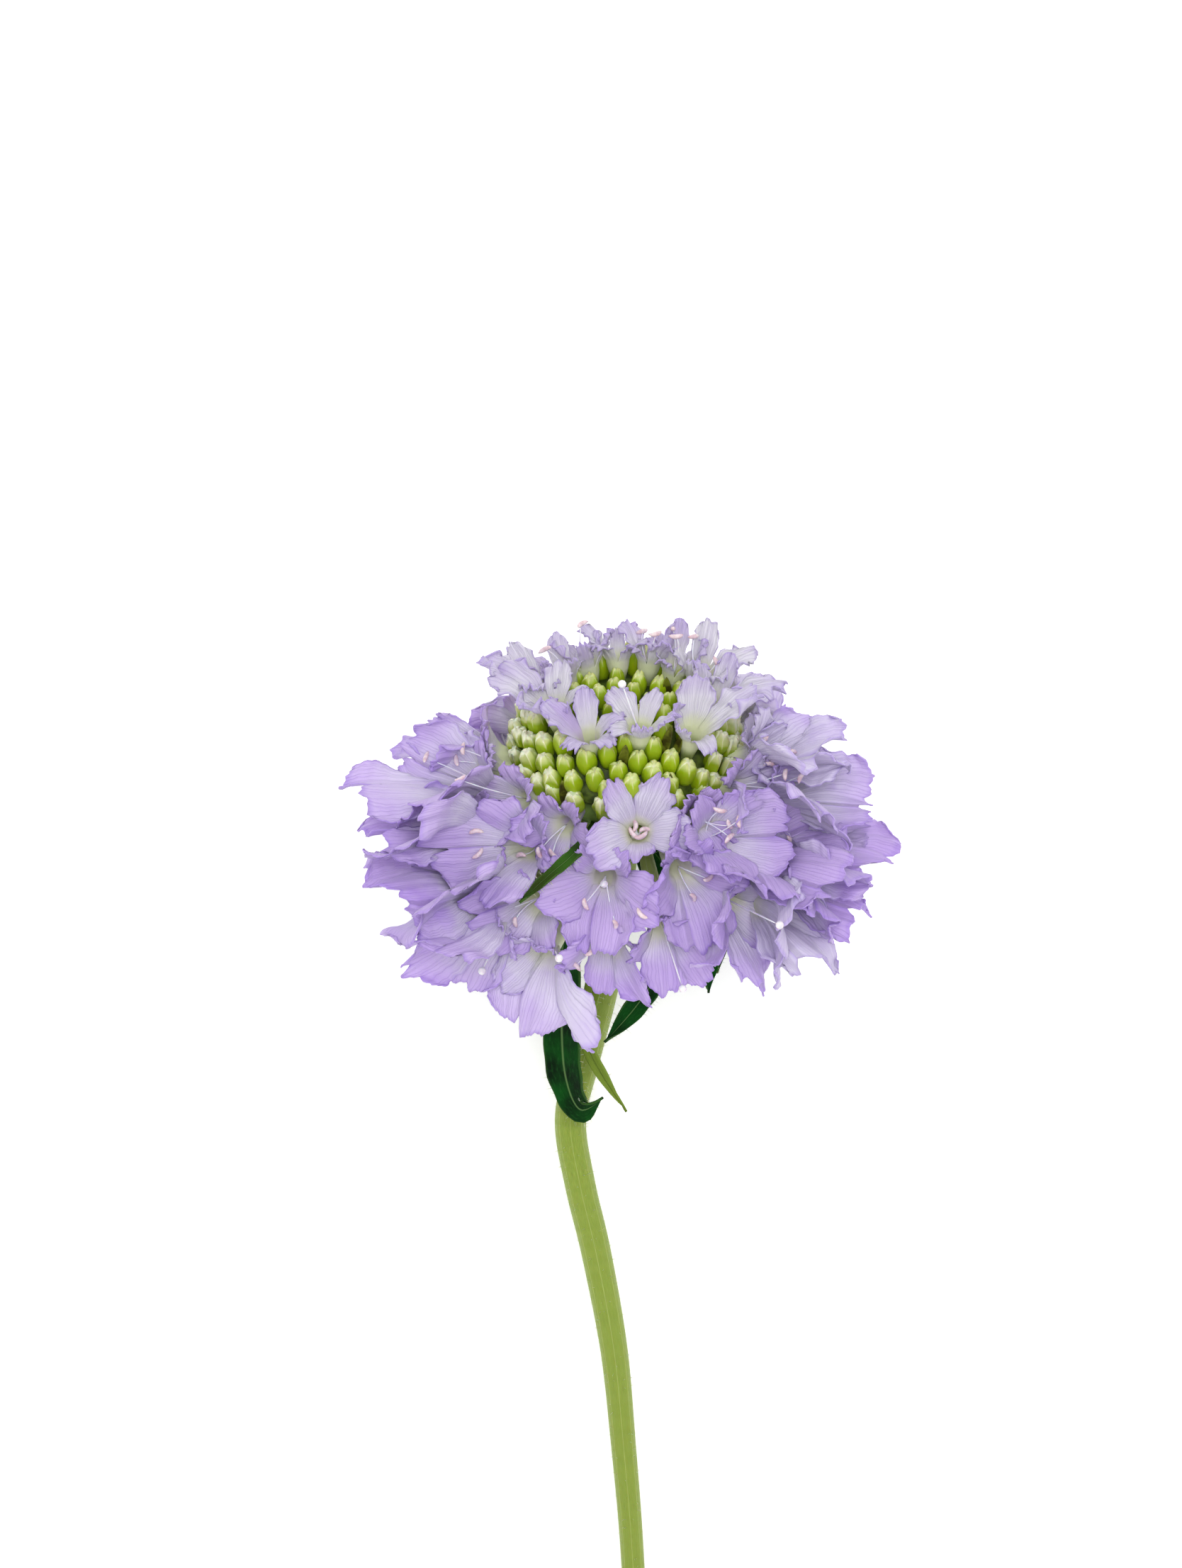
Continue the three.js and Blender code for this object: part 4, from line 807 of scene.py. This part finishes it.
def dome_site(k):
    """Place, outward direction and azimuth of a closed bud."""
    turn = k * GOLDEN
    point = around(turn, DOME_RADIUS * math.sin(POLAR[k]), DOME_HEIGHT * math.cos(POLAR[k]))
    normal = unit(point / np.array([DOME_RADIUS**2, DOME_RADIUS**2, DOME_HEIGHT**2]))
    return point, normal, turn


def on_dome(azimuth, r):
    """The dome's point at an azimuth and radius."""
    return around(azimuth, r, DOME_HEIGHT * math.sqrt(1 - (r / DOME_RADIUS) ** 2))


def inner_floret(k, row):
    """The floret of one row of INNER."""
    azimuth, r, tube, rise, open_, ratio, lengths = row
    point = on_dome(azimuth, r)
    axis = around(azimuth, math.cos(rise * DEG), math.sin(rise * DEG))
    lobes = []
    for q, (turn, length) in enumerate(zip(INNER_TURNS, lengths)):
        length *= 1 + RAGGED["length"] * wobble(k, 85 + q)
        wide = ratio * length * (1 + RAGGED["width"] * wobble(k, 95 + q))
        turn += RAGGED["turn"] * wobble(k, 75 + q)
        lobes.append((turn, length, wide, open_ + RAGGED["lean"] * wobble(k, 65 + q)))
    root, mouth = point - axis * INNER_FLORET["sunk"], point + axis * tube
    roll = RAGGED["roll"] * wobble(k, 3)
    return Floret(SEEDS["inner"] + k, root, mouth, azimuth, rise, roll, INNER_FLORET, lobes)


inner = Piece("inner_petals", INNER_PETAL)
inner_florets = [inner_floret(k, row) for k, row in enumerate(INNER)]
for floret in inner_florets:
    lay_floret(inner, floret)
inner.finish_off("root", ["inner_florets"], PETAL_THICKNESS)


# Outline of a bud, from its foot over its side to the middle of its top, as shares of its radius and length.
BUD_RISES = [0, 0.12, 0.3, 0.5, 0.68, 0.8, 0.9, 1.0]
BUD_RADII = [0, 0.46, 0.84, 1.0, 0.93, 0.7, 0.4, 0]
BUD_HEIGHTS = [0, 0.05, 0.24, 0.5, 0.74, 0.9, 0.98, 0.9]
BUD_LOBES = 5
BUD_WRAP = 0.14  # how far the outer edge of a bud's lobe stands over the next one, as a share of the radius
BUD_TOOTH = {"height": 0.13, "rise": 0.88, "reach": 0.1}


def bud_blank():
    """A bud of unit radius and length: an egg on a narrow foot, in lobes that overlap and end in teeth."""
    form = bmesh.new()
    bmesh.ops.create_uvsphere(form, u_segments=20, v_segments=11, radius=1.0)
    maps = [form.loops.layers.uv.new(name) for name in ("bud", "tone")]
    shape = {}
    for vert in form.verts:
        turn, polar = math.atan2(vert.co.y, vert.co.x), math.acos(max(-1, min(1, -vert.co.z)))
        rise = polar / math.pi
        part = round(BUD_LOBES * turn / (2 * math.pi), 3) % 1
        wrap = float(smooth(0.25, 0.5, rise)) * float(smooth(0.97, 0.8, rise))
        r = float(np.interp(rise, BUD_RISES, BUD_RADII)) * (1 + BUD_WRAP * wrap * (part / 0.75 - 0.6))
        tooth = math.sin(math.pi * (part + 0.125)) - 0.5 + 0.6 * math.cos(turn)
        near_top = math.exp(-(((rise - BUD_TOOTH["rise"]) / BUD_TOOTH["reach"]) ** 2))
        height = float(np.interp(rise, BUD_RISES, BUD_HEIGHTS)) + BUD_TOOTH["height"] * tooth * near_top
        vert.co = Vector((r * math.cos(turn), r * math.sin(turn), height))
        shape[vert.index] = (part, rise)
    for face in form.faces:
        for loop in face.loops:
            loop[maps[0]].uv = shape[loop.vert.index]
    mesh = bpy.data.meshes.new("blank")
    form.to_mesh(mesh)
    form.free()
    return mesh, spots_of(mesh)


BUD_BLANK, BUD_SPOTS = bud_blank()

buds = Piece("buds", BUD_SKIN)
open_places = np.array([on_dome(row[0], row[1]) for row in INNER])


def lay_bud(k, point, normal, size, crinkle):
    """A closed bud with its foot below the dome, from smooth (crinkle 0) to wrinkled and pale (1)."""
    axis = unit(mix(normal, np.array([0.0, 0.0, 1.0]), BUD_UPRIGHT))
    side = unit(np.cross([math.cos(k), math.sin(k), 0.0], axis))
    other = np.cross(axis, side)
    scale = [BUD_RADIUS * size, BUD_RADIUS * size, BUD_LENGTH * size + BUD_SUNK]
    spots = BUD_SPOTS * scale - [0, 0, BUD_SUNK]
    spots = spots + mix(*CRINKLE_DEPTH, crinkle) * np.sin(BUD_SPOTS * mix(*CRINKLE_WAVES, crinkle) + 2.3 * k)
    placed = point + spots[:, :1] * side + spots[:, 1:2] * other + spots[:, 2:3] * axis
    buds.lay(BUD_BLANK, to_part(placed), (0.5 + 0.5 * wobble(k, 52), crinkle))


for k in range(SITES):
    point, normal, turn = dome_site(k)
    if np.linalg.norm(open_places - point, axis=1).min() < OPEN_ROOM:
        continue
    aside = abs(math.cos(turn * DEG)) ** 3 * float(smooth(*ASIDE_FROM, k))
    centre = 1 - float(smooth(*CENTRE_TO, k))
    size = (1 + BUD_VARY * wobble(k, 50)) * (1 - SMALLER["aside"] * aside - SMALLER["centre"] * centre)
    lay_bud(k, point, normal, size, aside)
for i in range(RIM["count"]):
    turn = (i + RIM["vary"] * wobble(i, 54)) * 360 / RIM["count"]
    aside = abs(math.cos(turn * DEG)) ** 3
    size = (1 + BUD_VARY * wobble(i, 55)) * (RIM_SIZE - RIM_ASIDE * aside)
    crinkle = max(aside, 0.35 + 0.35 * wobble(i, 56))
    lay_bud(RIM["seed"] + i, around(turn, RIM["radius"], RIM["height"]), around(turn, 1, 0), size, crinkle)
buds.finish_off("root", ["bud_head"])


# Scales between the buds: width, then azimuth, radius and height of the foot and of the tip.
SCALES = [
    (1.3, (-102, 8.2, 5.0), (-98, 8.7, 8.9)), (1.2, (-92, 10.0, 4.2), (-90, 10.6, 8.0)),
    (1.2, (-62, 9.4, 4.6), (-56, 10.3, 9.2)), (1.0, (-54, 9.9, 4.2), (-51, 11.2, 8.2)),
    (1.3, (-128, 9.6, 4.4), (-126, 10.6, 8.0)), (1.2, (-28, 10.2, 4.2), (-26, 11.0, 8.0)),
    (1.8, (-66, 12.4, -1.5), (-65, 12.9, 4.6)), (1.6, (-122, 12.4, -1.5), (-124, 13.4, 3.2)),
    (1.1, (14, 5.2, 6.0), (14, 5.0, 9.4)), (1.1, (-160, 6.2, 5.6), (-160, 6.2, 9.0)),
]
SCALE_THICKNESS = 0.14


def lay_scale(piece, k, width, foot, tip):
    """A pointed blade that stands between the buds."""
    blank, x, y = SCALE_BLANK
    foot, tip = to_part(around(*foot)), to_part(around(*tip))
    side = unit(np.cross(tip - foot, [0.2 * wobble(k, 6), 0.3, 1.0]))
    front = np.cross(side, unit(tip - foot))
    u, w = 2 * x - 1, width / 2 * np.sin(np.pi * (0.25 + 0.75 * y)) ** 0.8
    middle = foot + (tip - foot) * y[:, None] + front * (0.5 * y * y)[:, None]
    piece.lay(blank, middle + side * (u * w)[:, None] + front * (0.3 * w * u * u)[:, None], PLAIN)


SCALE_BLANK = blank_grid(6, 10)
scales = Piece("dome_scales", SCALE)
for k, row in enumerate(SCALES):
    lay_scale(scales, k, *row)
scales.finish_off("root", [], SCALE_THICKNESS)

LATHE_SIDES = 48


def lathe(piece, profile):
    """A profile of (radius, height) pairs, given upwards, turned about the head's axis."""
    profile = np.asarray(profile, float)
    rows = len(profile) - 1
    blank, x, y = blank_grid(LATHE_SIDES, rows)
    row = np.rint(y * rows).astype(int)
    angle = 2 * np.pi * x
    r, z = profile[row, 0], profile[row, 1]
    piece.lay(blank, to_part(np.stack([r * np.cos(angle), r * np.sin(angle), z], -1)))
    bpy.data.meshes.remove(blank)


CORE_FOOT, CORE_STEPS = -0.3, 12
arc = [i * math.pi / 2 / CORE_STEPS for i in range(CORE_STEPS + 1)]
cap = [(DOME_RADIUS * math.cos(a), DOME_HEIGHT * math.sin(a)) for a in arc]
core = Piece("bud_core", CORE)
lathe(core, [(0, CORE_FOOT), (DOME_RADIUS, CORE_FOOT)] + cap)
core.finish_off("root", ["bud_head"])

receptacle = Piece("receptacle", RECEPTACLE)
lathe(receptacle, BASE)
receptacle.finish_off("root", ["outer_florets"])

# ---------- bracts ----------


def lay_bract(piece, k, width, twist, path):
    """A blade along its path. Gives its middle, side, normal and half width at each vertex."""
    blank, x, y = BRACT_BLANK
    middle = through(path, y) + HEAD
    along = unit(through(path, y + 0.01) - through(path, y - 0.01))
    outward = np.stack([BRACT["flare"] * (middle[:, 0] - HEAD[0]), np.zeros(len(y)), np.ones(len(y))], -1)
    side = unit(np.cross(along, outward))
    turn = (twist * DEG * y**4)[:, None]
    side = side * np.cos(turn) + np.cross(along, side) * np.sin(turn)
    normal = np.cross(side, along)
    swell = np.sin(np.pi * np.minimum(1, BRACT["start"] + (1 - BRACT["start"]) * y))
    swell = BRACT["foot"] + (1 - BRACT["foot"]) * swell
    w = width / 2 * swell * (1 - (1 - BRACT["tip"]) * smooth(BRACT["taper"], 1.0, y))
    u = 2 * x - 1
    ripple = 1.0
    for q, (deep, waves) in enumerate(BRACT_RIPPLES, 1):
        ripple = ripple + deep * np.abs(u) * np.sin(waves * y + q * k)
    w = w * ripple
    fold = w * (BRACT["keel"] * np.abs(u) ** 1.4)
    sides = np.sin(BRACT_WAVE["waves"] * y + 3 * k + 2 * np.sign(u))
    fold = fold + BRACT_WAVE["height"] * np.abs(u) ** 2 * sides
    points = middle + side * (u * w)[:, None] + normal * fold[:, None]
    piece.lay(blank, rested(points, BRACT_REST), (0.5, YELLOWED.get(k, 0.0)))
    return middle, side, normal, w


BRACT_BLANK = blank_grid(10, 56, ("blade", "tone"))
bracts = Piece("bract_blades", LEAF)
bract_edges = [lay_bract(bracts, k, *row) for k, row in enumerate(BRACTS)]
bracts.finish_off("root", ["bracts"], BRACT_THICKNESS)

collar = Piece("bract_collar", RECEPTACLE)
lathe(collar, COLLAR)
collar.finish_off("root", ["bracts"])

# ---------- stem ----------

# Rings that close the cut end: radius over the stem's own, and place along the stalk's map.
CUT_RINGS = [(1.0, 1.0), (0.97, 1.012), (0.8, 1.024), (0.55, 1.036), (0.25, 1.048), (0.0, 1.05)]


def stem_rows():
    """Share of its length, centre and radius at each step of the stem."""
    t = np.linspace(0, 1, STEM_STEPS + 1)
    values = through(STEM, t)
    middle, r = values[:, :3], values[:, 3]
    lying = r * math.cos(math.pi / SOLID_SIDES)
    flat = clamp01((t - FLAT_FROM + FLAT_BLEND) / FLAT_BLEND)
    height = mix(np.maximum(lying, middle[:, 2] + HEAD[2]), lying, flat)
    centre = np.stack([HEAD[0] + middle[:, 0], HEAD[1] + middle[:, 1], height], -1)
    return t, centre, r


def lay_stem(piece):
    """The stem with its closed ends. Gives the centre, side, upward direction and radius of each ring."""
    t, centre, r = stem_rows()
    rings = len(CUT_RINGS)
    centre = np.concatenate([centre[:1], centre] + [centre[-1:]] * rings)
    scale = np.concatenate([[0.0], r] + [[r[-1] * s] for s, _ in CUT_RINGS])
    v = np.concatenate([[0.0], t] + [[m] for _, m in CUT_RINGS])
    rows = len(v) - 1
    blank, x, y = blank_grid(STEM_SIDES, rows, ("stalk",))
    row = np.rint(y * rows).astype(int)
    angle = 2 * np.pi * x
    ribbed = 0.5 + 0.5 * np.cos(RIBS * angle)
    ahead = np.gradient(centre, axis=0)
    ahead[0], ahead[-rings:] = ahead[1], ahead[-rings - 1]
    ahead = unit(ahead)
    side = unit(np.cross([0.0, 0.0, 1.0], ahead))
    up = np.cross(ahead, side)
    radius = scale[row] * (1 - RIB_DEPTH + RIB_DEPTH * ribbed)
    outward = side[row] * np.sin(angle)[:, None] - up[row] * np.cos(angle)[:, None]
    points = centre[row] + radius[:, None] * outward
    in_cut = np.clip((v[row] - 1.0) / (CUT_RINGS[-1][1] - 1.0), 0, 1)
    points[:, 1] += CUT_HOLLOW * in_cut * np.clip(1 - radius / r[-1], 0, 1)
    points[:, 2] = np.maximum(points[:, 2], 0.0)
    corners = corners_of(blank)
    stalk = np.stack([ribbed[corners], v[row][corners]], -1)
    blank.uv_layers["stalk"].data.foreach_set("uv", stalk.astype(np.float32).ravel())
    piece.lay(blank, points)
    return centre, side, up, scale


stem = Piece("stem_stalk", STEM_SKIN)
stem_centre, stem_side, stem_up, stem_radius = lay_stem(stem)
stem.finish_off("root", ["stem"])

# ---------- hairs ----------

HAIR_SEED = random.Random(11)
HAIR_TIP = 0.004  # radius of a hair's blunt tip
# Hairs of the stem, and along the edges of each bract: their count, least and greatest length, radius, and
# how high above the surface the lowest one stands.
STEM_HAIR = {"count": 900, "lengths": (0.35, 0.8), "radius": 0.022, "lowest": 0.5}
BRACT_HAIR = {"count": 90, "lengths": (0.45, 0.95), "radius": 0.03, "lowest": 0.9}


def hair(piece, root, direction, length, radius):
    """A fine hair: a three-sided cone (mm)."""
    toward = Vector(unit(direction))
    middle = Vector(root) + toward * length / 2
    place = Matrix.Translation(middle * MM) @ toward.to_track_quat("Z", "Y").to_matrix().to_4x4()
    bmesh.ops.create_cone(
        piece.form, segments=3, radius1=radius * MM, radius2=HAIR_TIP * MM, depth=length * MM,
        cap_ends=True, cap_tris=True, matrix=place,
    )


hairs = Piece("stem_hairs", HAIR)
for _ in range(STEM_HAIR["count"]):
    i = int(2 + (len(stem_centre) - 12) * HAIR_SEED.random() ** 1.5)
    angle = HAIR_SEED.uniform(0, 2 * math.pi)
    outward = stem_side[i] * math.sin(angle) - stem_up[i] * math.cos(angle)
    root = stem_centre[i] + outward * stem_radius[i] * 0.97
    if root[2] < STEM_HAIR["lowest"]:
        continue
    slant = np.array([0, 0.5, 0]) * HAIR_SEED.uniform(-1, 1)
    hair(hairs, root, outward + slant, HAIR_SEED.uniform(*STEM_HAIR["lengths"]), STEM_HAIR["radius"])
hairs.finish_off("root", [], merge=FINE_MERGE)

NARROW = 0.15  # no hairs where a bract's half width is less

fringe = Piece("bract_hairs", HAIR)
for middle, side, normal, w in bract_edges:
    for _ in range(BRACT_HAIR["count"]):
        i = int(HAIR_SEED.random() * len(middle))
        edge = HAIR_SEED.choice((-1, 1))
        root = middle[i] + side[i] * edge * w[i] + normal[i] * 0.2 * w[i]
        if root[2] < BRACT_HAIR["lowest"] or w[i] < NARROW:
            continue
        away = side[i] * edge + normal[i] * HAIR_SEED.uniform(-0.4, 0.6)
        hair(fringe, root, away, HAIR_SEED.uniform(*BRACT_HAIR["lengths"]), BRACT_HAIR["radius"])
fringe.finish_off("root", [], merge=FINE_MERGE)

# ---------- stamens and styles ----------

filaments = Piece("filaments", FILAMENT)
anthers = Piece("anthers", ANTHER)
stigmas = Piece("stigmas", STIGMA)
BOW = random.Random(5)
FILAMENT_RADII = [0.0, 0.1, 0.1, 0.09, 0.09, 0.08, 0.08, 0.07, 0.0]
ANTHER_RADII = [0.0, 0.2, 0.27, 0.29, 0.29, 0.27, 0.2, 0.0]
ANTHER = {"half": 0.95, "bow": 0.35}
STYLE_RADII = [0.0, 0.11, 0.11, 0.11, 0.11, 0.1, 0.0]
STIGMA_RADIUS = 0.5
IN_THROAT = 0.5  # stamens and styles start this far below the mouth of their floret
LOOSE, TIGHT = 0.5, 0.1  # how far the middle of a stamen strays


def stamen(start, tip, spread=LOOSE):
    """A thin filament from start to tip (part frame, mm), with a curved anther across its end."""
    start, tip = np.asarray(start, float), np.asarray(tip, float)
    t = np.linspace(0, 1, len(FILAMENT_RADII))[:, None]
    sag = np.array([BOW.uniform(-1, 1), BOW.uniform(-1, 1), BOW.uniform(0, 1)]) * spread
    rod(filaments, start + (tip - start) * t + sag * (4 * t * (1 - t)), FILAMENT_RADII, 5)
    lie = unit(np.cross(tip - start, [BOW.uniform(-1, 1), BOW.uniform(-1, 1), BOW.uniform(-1, 1)]))
    bow = unit(np.cross(lie, tip - start))
    s = np.linspace(-1, 1, len(ANTHER_RADII))[:, None]
    rod(anthers, tip + lie * s * ANTHER["half"] + bow * ANTHER["bow"] * s * s, ANTHER_RADII, 8)


def style(start, tip):
    """A straight style from start to tip (part frame, mm), with a round stigma."""
    start, tip = np.asarray(start, float), np.asarray(tip, float)
    t = np.linspace(0, 1, len(STYLE_RADII))[:, None]
    rod(filaments, start + (tip - start) * t, STYLE_RADII, 5)
    place = Matrix.Translation(Vector(tip * MM))
    bmesh.ops.create_icosphere(stigmas.form, subdivisions=2, radius=STIGMA_RADIUS * MM, matrix=place)


# Tips of the stamens that stand out of the front florets, and of the styles, in the part's frame.
STAMEN_TIPS = [
    (-23.2, 55.7, 30.4), (-18.8, 53.1, 41.1), (-17.0, 47.1, 38.2), (-16.7, 44.3, 37.7), (-11.8, 44.3, 35.4),
    (-4.2, 38.5, 39.7), (2.4, 37.3, 42.5), (-0.5, 36.1, 41.1), (10.4, 41.4, 38.4), (8.7, 39.3, 38.6),
    (21.3, 53.5, 37.1), (-4.6, 71.7, 31), (-8.9, 68.7, 31),
]
STYLE_TIPS = [
    (-1.9, 40.8, 36.9), (-7.2, 32.2, 41.9), (-16.4, 30.4, 32.8), (7.4, 28.4, 36.0), (0.2, 64.3, 42.4),
    (18.5, 36.2, 46.8), (1.7, 46.6, 37.0),
]
FRONT_COUNT = 20  # large florets that are seen from the front
BARE = -0.2  # florets whose wobble is below this have no stamens
PAIR = {"inner": 5.0, "outer": 6.5, "vary": 0.2, "lean": 0.6}  # lengths of the stamens in the other florets


def nearest(tip, given):
    """Which of the given florets has its mouth nearest to a tip."""
    mouths = np.array([to_part(floret.mouth) for floret in given])
    return int(np.argmin(np.linalg.norm(mouths - np.array(tip), axis=1)))


front_florets = florets[:FRONT_COUNT] + florets[len(OUTER) :] + inner_florets
taken = set()
for tips, lay in ((STAMEN_TIPS, stamen), (STYLE_TIPS, style)):
    for tip in tips:
        i = nearest(tip, front_florets)
        taken.add(i)
        lay(to_part(front_florets[i].mouth - front_florets[i].axis * IN_THROAT), tip)
for i, floret in enumerate(front_florets):
    if i in taken or wobble(floret.k, 400) < BARE:
        continue
    start = to_part(floret.mouth - floret.axis * IN_THROAT)
    ahead = turned_to_part(floret.axis)
    length = PAIR["inner" if floret in inner_florets else "outer"]
    for q in range(2):
        lean = turned_to_part(floret.out) * wobble(floret.k, 410 + q) * PAIR["lean"]
        lean = lean + turned_to_part(floret.side) * wobble(floret.k, 420 + q) * PAIR["lean"]
        vary = 1 + PAIR["vary"] * wobble(floret.k, 430 + q)
        stamen(start, start + unit(ahead + lean) * length * vary)

# Short stamens close together in the small floret at the very front.
SHORT = {"turns": (20, 110, 200, 290), "length": 1.5, "vary": 0.4, "aside": 0.8}
small_front = florets[len(OUTER)]
for q, angle in enumerate(SHORT["turns"]):
    start = small_front.mouth - small_front.axis * IN_THROAT
    aside = small_front.away(np.array([angle * DEG]))[0]
    length = SHORT["length"] + SHORT["vary"] * wobble(q, 9)
    tip = start + small_front.axis * length + aside * SHORT["aside"]
    stamen(to_part(start), to_part(tip), TIGHT)

filaments.finish_off("root", [], merge=FINE_MERGE)
anthers.finish_off("root", [], merge=FINE_MERGE)
stigmas.finish_off("root", [], merge=FINE_MERGE)

# ---------- floor, light and camera ----------

FLOOR_GAP = 0.05  # the floor lies this far below the surface, clear of the lowest petals
FLOOR_GLOW = 0.36
STUDIO_LIGHT = 0.76  # strength of the even light all round

floor_form = bmesh.new()
bmesh.ops.create_grid(floor_form, x_segments=2, y_segments=2, size=2.0)
bmesh.ops.translate(floor_form, verts=floor_form.verts, vec=(0, 0, -FLOOR_GAP * MM))
floor_mesh = bpy.data.meshes.new("floor")
floor_form.to_mesh(floor_mesh)
floor_form.free()
floor_mesh.materials.append(mottled(
    "floor_paint", "fbfbfb", "ffffff", 4.0, (0.75, 0.85), 0.0, emission_strength=FLOOR_GLOW,
    emission_color=(1, 1, 1, 1),
))
floor = bpy.data.objects.new("floor", floor_mesh)
bpy.context.scene.collection.objects.link(floor)


def softbox(name, place, target, size, power):
    """A round light at a place (metres), turned to a target."""
    light = bpy.data.lights.new(name, "AREA")
    light.shape = "DISK"
    light.size = size
    light.energy = power
    lamp = bpy.data.objects.new(name, light)
    bpy.context.scene.collection.objects.link(lamp)
    lamp.location = place
    lamp.rotation_mode = "QUATERNION"
    lamp.rotation_quaternion = (Vector(target) - Vector(place)).to_track_quat("-Z", "Y")


softbox("key", place=(0.03, 0.14, 0.85), target=(0, 0.05, 0.02), size=0.4, power=3.0)
world = bpy.data.worlds.new("studio")
world.use_nodes = True
world.node_tree.nodes["Background"].inputs["Color"].default_value = (1, 1, 1, 1)
world.node_tree.nodes["Background"].inputs["Strength"].default_value = STUDIO_LIGHT
bpy.context.scene.world = world
bpy.context.scene.view_settings.view_transform = "Standard"

EYE = (-3.446, 52.608, 687)  # the camera looks straight down from here
FRAMED = 188.02  # what the frame's long side covers at the head's height
SENSOR = 36

camera_data = bpy.data.cameras.new("camera")
camera_data.sensor_fit = "AUTO"
camera_data.sensor_width = SENSOR
camera_data.lens = SENSOR * (EYE[2] - HEAD[2]) / FRAMED
camera_data.clip_start, camera_data.clip_end = 0.01, 10
camera = bpy.data.objects.new("camera", camera_data)
bpy.context.scene.collection.objects.link(camera)
camera.location = [along * MM for along in EYE]
camera.rotation_euler = (0, 0, 0)
bpy.context.scene.camera = camera
